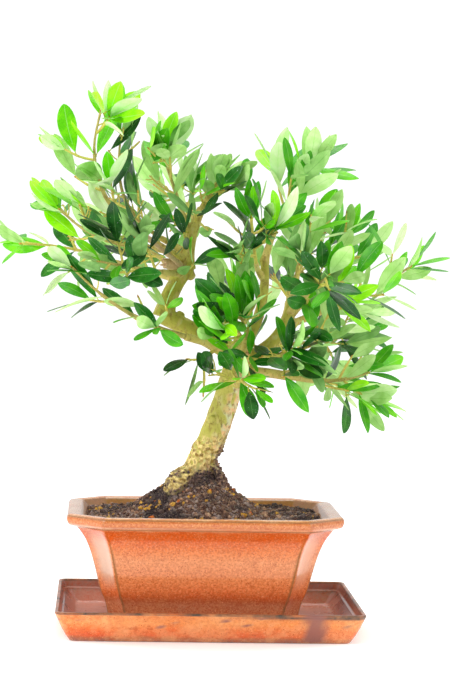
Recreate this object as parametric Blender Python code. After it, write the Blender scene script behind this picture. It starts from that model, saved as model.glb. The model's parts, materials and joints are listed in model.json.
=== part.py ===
"""Olive bonsai in a glazed pot on its drip tray. Metres, +Z up, origin under the middle of the tray.

+X is the right of the tree as it is shown and -Y is its front. Headings are (azimuth, rise) in degrees:
azimuth 0 is to the right, 90 to the back, and rise is counted up from level.
"""
import math
import random
from collections import namedtuple

import bmesh
import bpy
from mathutils import Vector, noise

Limb = namedtuple("Limb", "parent at first last length radii")
Mass = namedtuple("Mass", "limb last length shoots leaf seed")
Shoot = namedtuple("Shoot", "points radii")
Leaf = namedtuple("Leaf", "base aim face length")

# Clearance between solids that touch on the real plant
SEAT_GAP = 0.00035

# Drip tray: half sizes of its underside and rim, and the drop to its floor
TRAY_FOOT = (0.1005, 0.0722)
TRAY_RIM = (0.1105, 0.0836)
TRAY_HEIGHT = 0.0222
TRAY_FLOOR = 0.0062
TRAY_CORNER = 0.0060

# Pot: it stands a little left of the tray's middle
POT_SHIFT = -0.0036
POT_BASE = TRAY_FLOOR + SEAT_GAP
POT_TOP = 0.0882
POT_RIM = (0.1000, 0.0755)
POT_MOUTH = (0.0875, 0.0630)
POT_INSIDE_FLOOR = 0.0145
CORNER_DENT = 0.0012

# Soil: its level, and the heap round the trunk's foot
SOIL_LEVEL = 0.0828
HEAP_MIDDLE = (-0.0110, 0.0)
HEAP_RISE = 0.0400
HEAP_REACH = 0.0590
HEAP_POWER = 1.1
# The heap is lower at the front left, where a root ridge shows
HEAP_HOLLOW = 0.22
HEAP_HOLLOW_TURN = 215
SOIL_RING_SHARES = (0.91, 0.79, 0.67, 0.55, 0.43, 0.31, 0.20, 0.10)
# Pieces that the long and the short sides of its outline are split into
SOIL_SPLITS = (12, 8)
# Lumps on its surface: how wide they are, and how far they rise or sink at most
SOIL_LUMPS = ((0.0270, 0.0030), (0.0130, 0.0018))

# Trunk: centre of its flat cut, and the root flare there
TRUNK_FOOT = (-0.0155, 0.0, 0.0980)
TRUNK_STEPS = 9
TRUNK_SIDES = 14
FLARE_RADIUS = 0.0052
FLARE_FADE = 0.0105
FLARE_LOBES = 3
LOBE_DEPTH = 0.38
# The trunk tapers this many times faster than its length, then runs even
TAPER_RATE = 1.5
# Its fork end: radius share of the last ring, height of the dome on it and radius share of the dome
FORK_SHARE = 0.86
DOME_RISE = 0.0022
DOME_SHARE = 0.55
KNOB_RADIUS = 0.0006
TRUNK_SEED = 4

LIMB_STEPS = 6
BOUGH_STEPS = 4
STEM_STEPS = 4
STEM_SHARE = 0.82
STEM_SIDES = 3
TWIG_SIDES = 3
SHOOT_STEPS = 2
TWIG_TIP = 0.0010
TWIG_RADII = (0.0013, 0.0010)
LEAF_ROOT = 0.00015

# Growth rule
GOLDEN_ANGLE = 137.5
SPACE_GAP = 0.0024
LEAF_SPACING = 0.0045
LIMB_CLEARANCE = 0.0007
LEAF_TRIES = 4
SHOOT_TRIES = 3
SHOOT_PAIRS = 2
STEM_PAIRS = 3

# A leaf's shape, in shares of its length, but the outline's half widths are in shares of its width
LEAF_WIDTH = 0.40
LEAF_OUTLINE = ((0.33, 0.36), (0.70, 0.47))
LEAF_MIDDLE = 0.52
LEAF_THICKNESS = 0.032
LEAF_DROOP = 0.060

# Limb: parent, place along it, heading at its start and end, length, radius at its start and end
LIMBS = {
    "trunk": Limb(None, 0, (0, 65), (0, 77), 0.1125, (0.0118, 0.0092)),
    "limb_low": Limb("trunk", 0.97, (180, 30), (172, 23), 0.065, (0.0068, 0.0062)),
    "limb_rise": Limb("limb_low", 0.96, (25, 80), (0, 47), 0.042, (0.0063, 0.0056)),
    "limb_crown": Limb("limb_rise", 0.95, (21, 90), (-10, 65), 0.0465, (0.0048, 0.0032)),
    "limb_middle": Limb("trunk", 0.97, (-13, 55), (-25, 97), 0.0755, (0.0046, 0.003)),
    "limb_right": Limb("trunk", 0.93, (-2, 14), (18, 83), 0.0655, (0.0056, 0.0038)),
    "bough_low_right": Limb("trunk", 0.86, (-13, 5), (-11, -12), 0.044, (0.0042, 0.0032)),
    "bough_crest": Limb("limb_crown", 0.06, (-179, 38), (-166, 26), 0.0375, (0.003, 0.0023)),
    "bough_left_spray": Limb("limb_crown", 0.1, (-134, 31), (-175, 1), 0.038, (0.0029, 0.0022)),
    "bough_far_left": Limb("limb_rise", 0.7, (147, 10), (186, 19), 0.051, (0.0024, 0.0016)),
    "limb_stub": Limb("limb_rise", 0.95, (-164, 21), (-176, 3), 0.018, (0.004, 0.0034)),
    "twig_dry": Limb("limb_rise", 0.93, (-109, 16), (-174, 45), 0.0495, (0.0022, 0.0014)),
    "bough_left_middle": Limb("limb_crown", 0.22, (160, 33), (179, 27), 0.0245, (0.0028, 0.0022)),
    "bough_left_front": Limb("limb_rise", 0.84, (-111, 0), (-136, 5), 0.03, (0.0028, 0.0022)),
    "bough_low_left": Limb("limb_low", 0.14, (-142, 16), (-155, 13), 0.0395, (0.0034, 0.0028)),
    "bough_top_left": Limb("limb_crown", 0.42, (167, 82), (177, 69), 0.021, (0.0026, 0.0021)),
    "bough_back_left": Limb("limb_rise", 0.7, (95, 28), (130, 24), 0.0325, (0.0029, 0.0022)),
    "bough_back_top": Limb("limb_crown", 0.55, (79, 43), (93, 17), 0.029, (0.0026, 0.002)),
    "bough_right_top": Limb("limb_middle", 0.97, (52, 72), (19, 64), 0.0245, (0.0029, 0.0022)),
    "bough_right_inner": Limb("limb_middle", 0.8, (-142, 34), (-108, 57), 0.0175, (0.0024, 0.0019)),
    "bough_right_upper": Limb("limb_right", 0.76, (37, 39), (26, 51), 0.0405, (0.0028, 0.0021)),
    "bough_far_right": Limb("limb_right", 0.66, (5, 26), (-6, 22), 0.035, (0.003, 0.0024)),
    "bough_right_front": Limb("limb_right", 0.84, (-83, 31), (-67, 21), 0.0285, (0.0026, 0.0021)),
    "bough_upright": Limb("bough_low_right", 0.8, (-21, 14), (-35, 63), 0.031, (0.0022, 0.0018)),
    "bough_rosette": Limb("trunk", 0.8, (-78, 8), (-93, -2), 0.0325, (0.0026, 0.0019)),
    "bough_front_centre": Limb("trunk", 0.94, (-64, 38), (-93, 37), 0.0295, (0.0029, 0.0022)),
    "bough_middle_low": Limb("limb_right", 0.3, (-54, 4), (-77, -8), 0.025, (0.0026, 0.0021)),
    "bough_under_left": Limb("limb_low", 0.3, (-81, -33), (-158, -29), 0.018, (0.0019, 0.0015)),
    "bough_back_right": Limb("limb_right", 0.55, (57, 48), (87, 25), 0.041, (0.0029, 0.0022)),
    "bough_back_low": Limb("limb_right", 0.25, (58, 15), (54, 0), 0.0395, (0.0028, 0.0022)),
    "bough_back_centre": Limb("trunk", 0.96, (90, 53), (90, 19), 0.0355, (0.0028, 0.0022)),
}

# Mass of leaves: the limb it grows on from, heading at its stem's end, stem length, side shoots,
# mean leaf length and seed
MASSES = {
    "mass_crest": Mass("bough_crest", (-149, 111), 0.107, 5, 0.031, 699),
    "mass_left_spray": Mass("bough_left_spray", (-184, 45), 0.069, 5, 0.028, 972),
    "mass_far_left": Mass("bough_far_left", (216, -1), 0.075, 3, 0.027, 483),
    "mass_left_middle": Mass("bough_left_middle", (257, 109), 0.09, 4, 0.028, 295),
    "mass_left_front": Mass("bough_left_front", (-146, 9), 0.059, 5, 0.031, 143),
    "mass_low_left": Mass("bough_low_left", (-169, 46), 0.101, 4, 0.03, 389),
    "mass_top_left": Mass("bough_top_left", (232, 68), 0.051, 5, 0.031, 56),
    "mass_crown": Mass("limb_crown", (-51, 50), 0.022, 5, 0.027, 109),
    "mass_back_left": Mass("bough_back_left", (107, 18), 0.076, 5, 0.031, 648),
    "mass_back_top": Mass("bough_back_top", (131, 16), 0.051, 7, 0.032, 234),
    "mass_right_top": Mass("bough_right_top", (-15, 79), 0.056, 5, 0.031, 979),
    "mass_right_inner": Mass("bough_right_inner", (-110, 74), 0.035, 5, 0.029, 156),
    "mass_right_middle": Mass("limb_right", (-28, 67), 0.061, 6, 0.031, 810),
    "mass_right_upper": Mass("bough_right_upper", (-20, 64), 0.042, 5, 0.03, 494),
    "mass_far_right": Mass("bough_far_right", (-30, 34), 0.07, 5, 0.03, 285),
    "mass_right_front": Mass("bough_right_front", (-82, 15), 0.057, 5, 0.031, 771),
    "mass_upright": Mass("bough_upright", (-53, 59), 0.045, 5, 0.03, 400),
    "mass_low_right": Mass("bough_low_right", (10, 21), 0.056, 6, 0.031, 54),
    "mass_rosette": Mass("bough_rosette", (-75, 19), 0.018, 3, 0.029, 174),
    "mass_front_centre": Mass("bough_front_centre", (-115, 36), 0.026, 6, 0.032, 622),
    "mass_middle_low": Mass("bough_middle_low", (-78, 25), 0.034, 6, 0.031, 327),
    "mass_under_left": Mass("bough_under_left", (-153, 12), 0.015, 2, 0.03, 324),
    "mass_back_right": Mass("bough_back_right", (47, 24), 0.082, 6, 0.032, 728),
    "mass_back_low": Mass("bough_back_low", (13, 12), 0.078, 5, 0.031, 887),
    "mass_back_centre": Mass("bough_back_centre", (80, 62), 0.056, 4, 0.031, 660),
}

COLOURS = {
    "tray": ((0.86, 0.27, 0.09), 0.30),
    "pot": ((0.80, 0.25, 0.10), 0.28),
    "soil": ((0.10, 0.07, 0.05), 0.95),
    "trunk": ((0.36, 0.30, 0.12), 0.85),
    "limb": ((0.36, 0.33, 0.08), 0.80),
    "cut_wood": ((0.45, 0.32, 0.20), 0.90),
    "leaves": ((0.06, 0.24, 0.05), 0.35),
    "young_leaves": ((0.22, 0.56, 0.08), 0.40),
}


def make_material(name):
    colour, roughness = COLOURS[name]
    material = bpy.data.materials.new(name)
    material.use_nodes = True
    shader = material.node_tree.nodes["Principled BSDF"]
    shader.inputs["Base Color"].default_value = (*colour, 1.0)
    shader.inputs["Roughness"].default_value = roughness
    shader.inputs["Metallic"].default_value = 0.0
    return material


def make_object(name, mesh, collection, material=None):
    piece = bpy.data.objects.new(name, mesh)
    collection.objects.link(piece)
    if material:
        mesh.materials.append(material)
    return piece


def loft(name, rings, split=False):
    """A closed skin over rings of equal count, with a flat face on the first and the last.

    With split, each four-sided face is halved along the same diagonal, so that a shape and its
    slightly larger copy keep an even clearance.
    """
    bm = bmesh.new()
    layers = [[bm.verts.new(point) for point in ring] for ring in rings]
    count = len(rings[0])
    for lower, upper in zip(layers, layers[1:]):
        for i in range(count):
            bm.faces.new((lower[i], lower[(i + 1) % count], upper[(i + 1) % count], upper[i]))
    bm.faces.new(layers[0])
    bm.faces.new(layers[-1])
    bmesh.ops.recalc_face_normals(bm, faces=bm.faces)
    if split:
        bmesh.ops.triangulate(bm, faces=bm.faces, quad_method="FIXED")
    mesh = bpy.data.meshes.new(name)
    bm.to_mesh(mesh)
    bm.free()
    return mesh


def heading(azimuth, rise):
    turn = math.radians(azimuth)
    lift = math.radians(rise)
    return Vector((math.cos(turn) * math.cos(lift), math.sin(turn) * math.cos(lift), math.sin(lift)))


def bent_run(start, first, last, length, steps):
    """Points of a limb whose heading turns evenly from first to last."""
    points = [start]
    for i in range(steps):
        share = (i + 0.5) / steps
        azimuth = first[0] + (last[0] - first[0]) * share
        rise = first[1] + (last[1] - first[1]) * share
        points.append(points[-1] + heading(azimuth, rise) * (length / steps))
    return points


def point_at(points, share):
    place = min(max(share, 0.0), 1.0) * (len(points) - 1)
    i = min(int(place), len(points) - 2)
    return points[i].lerp(points[i + 1], place - i)


def direction_at(points, share):
    i = min(int(min(max(share, 0.0), 1.0) * (len(points) - 1)), len(points) - 2)
    return (points[i + 1] - points[i]).normalized()


def distance_to_run(point, points):
    nearest = 1.0
    for a, b in zip(points, points[1:]):
        span = b - a
        share = min(max((point - a).dot(span) / span.dot(span), 0.0), 1.0)
        nearest = min(nearest, (point - a - span * share).length)
    return nearest


def across(aim, turn):
    """A unit vector square to aim, turned round it from the side that looks up."""
    level = Vector((0, 0, 1)) if abs(aim.z) < 0.97 else Vector((1, 0, 0))
    side = aim.cross(level).normalized()
    lift = side.cross(aim)
    return lift * math.cos(turn) + side * math.sin(turn)


def tube_rings(points, radii, sides, first_aim=None):
    """Rings along a run, each square to the mean of the headings on its two sides."""
    rings = []
    last = len(points) - 1
    spoke = None
    for i, point in enumerate(points):
        before = (points[i] - points[i - 1]).normalized() if i > 0 else Vector((0, 0, 0))
        after = (points[i + 1] - points[i]).normalized() if i < last else Vector((0, 0, 0))
        aim = (before + after).normalized()
        if i == 0 and first_aim:
            aim = first_aim
        if spoke is None:
            spoke = across(aim, 0.0)
        spoke = (spoke - aim * spoke.dot(aim)).normalized()
        side = aim.cross(spoke)
        radius = radii[0] + (radii[1] - radii[0]) * i / last
        turns = [2 * math.pi * k / sides for k in range(sides)]
        rings.append([point + (spoke * math.cos(t) + side * math.sin(t)) * radius for t in turns])
    return rings


def round_cornered_ring(half_x, half_y, radius, z):
    """A rectangle with three points round each corner."""
    points = []
    for quarter, (sign_x, sign_y) in enumerate(((1, 1), (-1, 1), (-1, -1), (1, -1))):
        for step in range(3):
            turn = math.radians(90 * quarter + 45 * step)
            x = sign_x * (half_x - radius) + radius * math.cos(turn)
            y = sign_y * (half_y - radius) + radius * math.sin(turn)
            points.append(Vector((x, y, z)))
    return points


def cut_cornered_ring(half_x, half_y, cut, dent, z, splits=(1, 1)):
    """The pot's outline: a rectangle with its corners cut off, each cut face dented at its middle."""
    corners = []
    for sign_x, sign_y in ((1, 1), (-1, 1), (-1, -1), (1, -1)):
        on_side = Vector((sign_x * half_x, sign_y * (half_y - cut), z))
        on_front = Vector((sign_x * (half_x - cut), sign_y * half_y, z))
        middle = (on_side + on_front) / 2 - Vector((sign_x, sign_y, 0)) * dent
        corners += [on_side, middle, on_front] if sign_x * sign_y > 0 else [on_front, middle, on_side]
    shift = Vector((POT_SHIFT, 0, 0))
    points = []
    # Each corner has three points, so every third stretch is a side, long and short by turns
    for i, (a, b) in enumerate(zip(corners, corners[1:] + corners[:1])):
        pieces = splits[i // 3 % 2] if i % 3 == 2 else 1
        points += [a.lerp(b, k / pieces) + shift for k in range(pieces)]
    return points


def build_tray(collection):
    rim_x, rim_y = TRAY_RIM
    foot_x, foot_y = TRAY_FOOT
    # Drop below the rim's top, inset from the rim, outside going up and then inside going down
    flare = rim_x - foot_x
    depth = TRAY_HEIGHT
    profile = (
        (depth, flare + 0.0020), (depth - 0.0018, flare - 0.0006), (depth * 0.62, flare * 0.56),
        (depth * 0.30, flare * 0.24), (0.0022, 0.0006), (0.0006, 0.0), (0.0, 0.0006),
        (0.0, 0.0024), (0.0042, 0.0036), (0.0064, 0.0058), (0.0080, 0.0062),
        (depth - TRAY_FLOOR - 0.0020, 0.0118), (depth - TRAY_FLOOR, 0.0150),
    )
    rings = []
    for drop, inset in profile:
        half_y = rim_y - inset * (rim_y - foot_y) / flare if inset <= flare else foot_y - (inset - flare)
        corner = max(TRAY_CORNER - inset * 0.15, 0.002)
        rings.append(round_cornered_ring(rim_x - inset, half_y, corner, TRAY_HEIGHT - drop))
    return make_object("tray", loft("tray", rings), collection, make_material("tray"))


# Pot's outside as (drop below the rim's top, inset from the rim, corner cut)
POT_OUTSIDE = (
    (POT_TOP - POT_BASE, 0.0325, 0.0120), (0.0790, 0.0306, 0.0124), (0.0660, 0.0286, 0.0128),
    (0.0565, 0.0250, 0.0134), (0.0380, 0.0202, 0.0146), (0.0280, 0.0173, 0.0156),
    (0.0190, 0.0137, 0.0168), (0.0130, 0.0100, 0.0180), (0.0098, 0.0070, 0.0200),
    (0.0078, 0.0022, 0.0235), (0.0056, 0.0004, 0.0252), (0.0026, 0.0, 0.0260), (0.0, 0.0022, 0.0255),
)
# Pot's inside as (drop, inset from the mouth, corner cut)
POT_HOLLOW = (
    (0.0, 0.0, 0.0160), (0.0120, 0.0050, 0.0150), (0.0400, 0.0130, 0.0130),
    (POT_TOP - POT_INSIDE_FLOOR - 0.003, 0.0230, 0.0110), (POT_TOP - POT_INSIDE_FLOOR, 0.0270, 0.0100),
)


def build_pot(collection):
    rings = []
    for drop, inset, cut in POT_OUTSIDE:
        half_x, half_y = (half - inset for half in POT_RIM)
        rings.append(cut_cornered_ring(half_x, half_y, cut, CORNER_DENT, POT_TOP - drop))
    for drop, inset, cut in POT_HOLLOW:
        half_x, half_y = (half - inset for half in POT_MOUTH)
        rings.append(cut_cornered_ring(half_x, half_y, cut, 0.0, POT_TOP - drop))
    return make_object("pot", loft("pot", rings), collection, make_material("pot"))


def soil_height(x, y):
    east = x - HEAP_MIDDLE[0]
    north = y - HEAP_MIDDLE[1]
    away = math.hypot(east, north) / HEAP_REACH
    facing = math.cos(math.atan2(north, east) - math.radians(HEAP_HOLLOW_TURN))
    rise = HEAP_RISE * (1.0 - HEAP_HOLLOW * max(0.0, facing))
    return SOIL_LEVEL + rise * max(0.0, 1.0 - away) ** HEAP_POWER


def soil_lumps(x, y):
    """How far the lumpy surface stands above the plain heap."""
    return sum(height * noise.noise(Vector((x, y, 0.0)) / width) for width, height in SOIL_LUMPS)


def build_soil(collection, trunk_cutter):
    """The soil fills the pot's hollow a clearance away from it, and its top is heaped round the trunk."""
    rings = []
    for drop, inset, cut in reversed(POT_HOLLOW[1:]):
        lift = SEAT_GAP if not rings else 0.0
        half_x, half_y = (half - inset - SEAT_GAP * 1.3 for half in POT_MOUTH)
        rings.append(cut_cornered_ring(half_x, half_y, cut, 0.0, POT_TOP - drop + lift, SOIL_SPLITS))
    drop_to_soil = POT_TOP - SOIL_LEVEL
    share = drop_to_soil / POT_HOLLOW[1][0]
    inset = POT_HOLLOW[1][1] * share
    half_x, half_y = (half - inset - SEAT_GAP * 1.3 for half in POT_MOUTH)
    edge = cut_cornered_ring(half_x, half_y, 0.0155, 0.0, SOIL_LEVEL, SOIL_SPLITS)
    rings.append(edge)
    middle = Vector((*HEAP_MIDDLE, 0))
    for share in SOIL_RING_SHARES:
        ring = []
        for point in edge:
            flat = middle + (Vector((point.x, point.y, 0)) - middle) * share
            ring.append(Vector((flat.x, flat.y, soil_height(flat.x, flat.y) + soil_lumps(flat.x, flat.y))))
        rings.append(ring)
    level = sum(point.z for point in rings[-1]) / len(rings[-1])
    for point in rings[-1]:
        point.z = level
    soil = make_object("soil", loft("soil", rings), collection, make_material("soil"))
    cut_clear(soil, [trunk_cutter])
    return soil


def trunk_radius(height, turn, rng):
    """Radius of the trunk at a height above its cut: taper, root flare in lobes, and small knobs."""
    length = LIMBS["trunk"].length
    wide, slim = LIMBS["trunk"].radii
    share = height / length
    taper = wide + (slim - wide) * min(share * TAPER_RATE, 1.0)
    lobes = 1.0 - LOBE_DEPTH + LOBE_DEPTH * math.cos(FLARE_LOBES * (turn - math.pi))
    flare = FLARE_RADIUS * math.exp(-height / FLARE_FADE) * lobes
    knobs = KNOB_RADIUS * rng.uniform(-1.0, 1.0) if share < 0.6 else 0.0
    return taper + flare + knobs


def trunk_mesh(points, grow):
    """The trunk as a loft, made larger all round by grow."""
    rng = random.Random(TRUNK_SEED)
    rings = tube_rings(points, (1.0, 1.0), TRUNK_SIDES)
    last = len(points) - 1
    shaped = []
    for i, (point, ring) in enumerate(zip(points, rings)):
        height = (point - points[0]).length
        row = []
        for k, spoke in enumerate(ring):
            turn = 2 * math.pi * k / TRUNK_SIDES
            radius = trunk_radius(height, turn, rng) * (FORK_SHARE if i == last else 1.0) + grow
            row.append(point + (spoke - point) * radius)
        shaped.append(row)
    # The cut at the foot is level
    for place in shaped[0]:
        place.z = points[0].z - grow
    crown = points[-1] + (points[-1] - points[-2]).normalized() * (DOME_RISE + grow)
    top = [crown + (place - points[-1]) * DOME_SHARE for place in shaped[-1]]
    return loft("trunk", shaped + [top], split=True)


def limb_mesh(name, points, radii, sides_step, grow=0.0):
    """A tapering limb as a bevelled curve, made larger all round by grow, as a mesh with welded caps."""
    curve = bpy.data.curves.new(name, "CURVE")
    curve.dimensions = "3D"
    curve.bevel_depth = 1.0
    curve.bevel_resolution = sides_step
    curve.use_fill_caps = True
    spline = curve.splines.new("POLY")
    spline.points.add(len(points) - 1)
    last = len(points) - 1
    ends = (points[0] - points[1]).normalized() * grow, (points[-1] - points[-2]).normalized() * grow
    for i, (control, place) in enumerate(zip(spline.points, points)):
        spot = place + (ends[0] if i == 0 else ends[1] if i == last else Vector((0, 0, 0)))
        control.co = (*spot, 1.0)
        control.radius = radii[0] + (radii[1] - radii[0]) * i / last + grow
    holder = bpy.data.objects.new(name, curve)
    bpy.context.scene.collection.objects.link(holder)
    bpy.context.view_layer.update()
    mesh = bpy.data.meshes.new_from_object(holder.evaluated_get(bpy.context.evaluated_depsgraph_get()))
    bm = bmesh.new()
    bm.from_mesh(mesh)
    bmesh.ops.remove_doubles(bm, verts=bm.verts, dist=0.00001)
    bmesh.ops.recalc_face_normals(bm, faces=bm.faces)
    bm.to_mesh(mesh)
    bm.free()
    bpy.data.objects.remove(holder)
    bpy.data.curves.remove(curve)
    mesh.name = name
    return mesh


def keep_largest_shell(mesh):
    """Loose scraps and sealed hollows are dropped: only the shell with most faces stays."""
    bm = bmesh.new()
    bm.from_mesh(mesh)
    waiting = set(bm.faces)
    shells = []
    while waiting:
        shell = [waiting.pop()]
        for face in shell:
            for edge in face.edges:
                for other in edge.link_faces:
                    if other in waiting:
                        waiting.remove(other)
                        shell.append(other)
        shells.append(shell)
    shells.sort(key=len)
    for shell in shells[:-1]:
        bmesh.ops.delete(bm, geom=shell, context="FACES")
    bm.to_mesh(mesh)
    bm.free()


def apply_boolean(piece, operation, cutter=None, collection=None):
    modifier = piece.modifiers.new("join", "BOOLEAN")
    modifier.operation = operation
    modifier.solver = "EXACT"
    if collection:
        modifier.operand_type = "COLLECTION"
        modifier.collection = collection
    else:
        modifier.object = cutter
    bpy.context.view_layer.update()
    shaped = piece.evaluated_get(bpy.context.evaluated_depsgraph_get())
    mesh = bpy.data.meshes.new_from_object(shaped)
    piece.modifiers.clear()
    piece.data = mesh
    mesh.name = piece.name
    keep_largest_shell(mesh)


def cut_clear(piece, cutters):
    for cutter in cutters:
        apply_boolean(piece, "DIFFERENCE", cutter=cutter)


def limb_runs():
    runs = {}
    for name, limb in LIMBS.items():
        start = point_at(runs[limb.parent], limb.at) if limb.parent else Vector(TRUNK_FOOT)
        steps = {"trunk": TRUNK_STEPS, "limb": LIMB_STEPS}.get(name.split("_")[0], BOUGH_STEPS)
        runs[name] = bent_run(start, limb.first, limb.last, limb.length, steps)
    return runs


def build_limbs(runs, collection, cutters):
    """Trunk, limbs and boughs. Each is cut clear of the earlier ones that it grows from or brushes."""
    bark = {"trunk": make_material("trunk"), "limb": make_material("limb"), "cut": make_material("cut_wood")}
    spare = {}
    for name, limb in LIMBS.items():
        points = runs[name]
        if name == "trunk":
            piece = make_object(name, trunk_mesh(points, 0.0), collection, bark["trunk"])
            spare[name] = make_object("trunk_clearance", trunk_mesh(points, SEAT_GAP), cutters)
            continue
        sides_step = 2 if name.startswith("limb") else 1
        material = bark["cut"] if name in ("limb_stub", "twig_dry") else bark["limb"]
        mesh = limb_mesh(name, points, limb.radii, sides_step)
        piece = make_object(name, mesh, collection, material)
        near = []
        for other, other_run in runs.items():
            if other == name:
                break
            reach = limb.radii[0] + max(LIMBS[other].radii) + 3 * SEAT_GAP
            if other == "trunk":
                reach += FLARE_RADIUS
            gaps = [distance_to_run(point_at(points, k / 24), other_run) for k in range(25)]
            if min(gaps) < reach:
                near.append(spare[other])
        cut_clear(piece, near)
        larger = limb_mesh(name + "_clearance", points, limb.radii, sides_step, SEAT_GAP)
        spare[name] = make_object(name + "_clearance", larger, cutters)
    return spare["trunk"]


def half_width(share):
    """Half of a blade's width at a share of its length, in blade widths."""
    (low, low_width), (high, high_width) = LEAF_OUTLINE
    if share < low:
        return low_width * share / low
    if share < high:
        return low_width + (high_width - low_width) * (share - low) / (high - low)
    return high_width * (1.0 - share) / (1.0 - high)


def blade_point(leaf, share, side):
    sideways = leaf.aim.cross(leaf.face) * (side * half_width(share) * LEAF_WIDTH * leaf.length)
    return leaf.base + leaf.aim * (leaf.length * share) + sideways


def in_own_space(point, stem, others):
    """Whether a point lies nearer to its own mass's stem than to any other mass's."""
    near = distance_to_run(point, stem)
    return all(distance_to_run(point, other) - near > SPACE_GAP for other in others)


def blade_is_clear(leaf, stem, others, limbs):
    spots = ((0.35, 0), (0.7, 0), (1.0, 0), (0.33, 1), (0.33, -1), (0.7, 1), (0.7, -1))
    if not all(in_own_space(blade_point(leaf, share, side), stem, others) for share, side in spots):
        return False
    middle = blade_point(leaf, 0.5, 0)
    for run, radius in limbs:
        if distance_to_run(middle, run) > leaf.length * 0.52 + radius:
            continue
        for i in range(9):
            for side in (-1, -0.5, 0, 0.5, 1):
                if distance_to_run(blade_point(leaf, (i + 1) / 9, side), run) < radius + LIMB_CLEARANCE:
                    return False
    return True


def clear_of_leaves(leaf, grown):
    spots = [blade_point(leaf, share, 0) for share in (0.35, 0.6, 0.85, 1.0)]
    for older in grown:
        spine = (blade_point(older, 0.3, 0), blade_point(older, 1.0, 0))
        if any(distance_to_run(spot, spine) < LEAF_SPACING for spot in spots):
            return False
    return True


def run_is_clear(points, stem, others, limbs):
    for i in range(1, 9):
        point = point_at(points, i / 8)
        if not in_own_space(point, stem, others):
            return False
        if any(distance_to_run(point, run) < radius + LIMB_CLEARANCE + 0.001 for run, radius in limbs):
            return False
    return True


def add_leaves(rng, leaves, points, pairs, first_share, first_turn, size, space):
    """Opposite pairs of leaves along a twig, each pair a quarter turn from the last."""
    for k in range(pairs):
        young = (k + 1) / pairs
        share = first_share + (0.97 - first_share) * young
        node = point_at(points, share)
        axis = direction_at(points, share)
        turn = first_turn + math.radians(90 * k) + rng.uniform(-0.3, 0.3)
        for side in (0, math.pi):
            length = size * rng.uniform(0.82, 1.16) * (1.06 - 0.2 * young)
            for attempt in range(LEAF_TRIES):
                out = across(axis, turn + side + rng.uniform(-0.25, 0.25) * (1 + attempt))
                opening = math.radians(66 - 34 * young) * rng.uniform(0.8, 1.25)
                aim = (axis * math.cos(opening) + out * math.sin(opening)).normalized()
                face = axis * 0.7 + Vector((0, 0, 0.6)) + across(axis, rng.uniform(0, 6.28)) * 0.45
                face = (face - aim * face.dot(aim)).normalized()
                leaf = Leaf(node - aim * LEAF_ROOT, aim, face, length)
                if clear_of_leaves(leaf, leaves) and blade_is_clear(leaf, *space):
                    leaves.append(leaf)
                    break


def grow_mass(mass, space):
    """The twigs and leaves of one mass: side shoots spread round the stem by the golden angle."""
    stem = space[0]
    rng = random.Random(mass.seed)
    first_turn = rng.uniform(0, 6.28)
    shoots = []
    leaves = []
    add_leaves(rng, leaves, stem, STEM_PAIRS, 0.12, first_turn, mass.leaf, space)
    for k in range(mass.shoots):
        share = 0.06 + 0.84 * (k + rng.uniform(0.1, 0.9)) / mass.shoots
        root = point_at(stem, share)
        axis = direction_at(stem, share)
        turn = first_turn + math.radians(GOLDEN_ANGLE * k)
        reach = mass.leaf * rng.uniform(0.55, 1.05) * (1.15 - 0.45 * share)
        for attempt in range(SHOOT_TRIES):
            out = across(axis, turn + rng.uniform(-0.4, 0.4) * (1 + attempt))
            opening = math.radians(rng.uniform(42, 70))
            first = (axis * math.cos(opening) + out * math.sin(opening)).normalized()
            points = [root]
            for i in range(SHOOT_STEPS):
                aim = (first + Vector((0, 0, 0.12)) * i + axis * 0.15 * i).normalized()
                points.append(points[-1] + aim * (reach / SHOOT_STEPS))
            if run_is_clear(points[1:], *space):
                shoots.append(Shoot(points, TWIG_RADII))
                add_leaves(rng, leaves, points, SHOOT_PAIRS, 0.28, turn, mass.leaf, space)
                break
    return shoots, leaves


def leaf_mesh(name, leaf):
    """A thin closed blade: a six-sided underside that droops to the tip, and one raised middle point."""
    side = leaf.aim.cross(leaf.face)

    def place(share, half, lift):
        height = lift - LEAF_DROOP * share * share
        return leaf.base + (leaf.aim * share + side * (half * LEAF_WIDTH) + leaf.face * height) * leaf.length

    bm = bmesh.new()
    foot = bm.verts.new(place(0.0, 0.0, 0.0))
    left = [bm.verts.new(place(share, half, 0.0)) for share, half in LEAF_OUTLINE]
    right = [bm.verts.new(place(share, -half, 0.0)) for share, half in LEAF_OUTLINE]
    tip = bm.verts.new(place(1.0, 0.0, 0.0))
    raised = bm.verts.new(place(LEAF_MIDDLE, 0.0, LEAF_THICKNESS))
    edge = [foot, *left, tip, *reversed(right)]
    for a, b in zip(edge, edge[1:] + edge[:1]):
        bm.faces.new((a, b, raised))
    bm.faces.new((foot, right[0], left[0]))
    bm.faces.new((left[0], right[0], right[1]))
    bm.faces.new((left[0], right[1], left[1]))
    bm.faces.new((left[1], right[1], tip))
    bmesh.ops.recalc_face_normals(bm, faces=bm.faces)
    mesh = bpy.data.meshes.new(name)
    bm.to_mesh(mesh)
    bm.free()
    return mesh


def stem_run(mass, runs):
    """A mass's stem goes on from its limb's tip, a clearance away, and turns to its own heading."""
    limb_run = runs[mass.limb]
    limb = LIMBS[mass.limb]
    start = limb_run[-1] + (limb_run[-1] - limb_run[-2]).normalized() * SEAT_GAP
    return bent_run(start, limb.last, mass.last, mass.length, STEM_STEPS)


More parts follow.
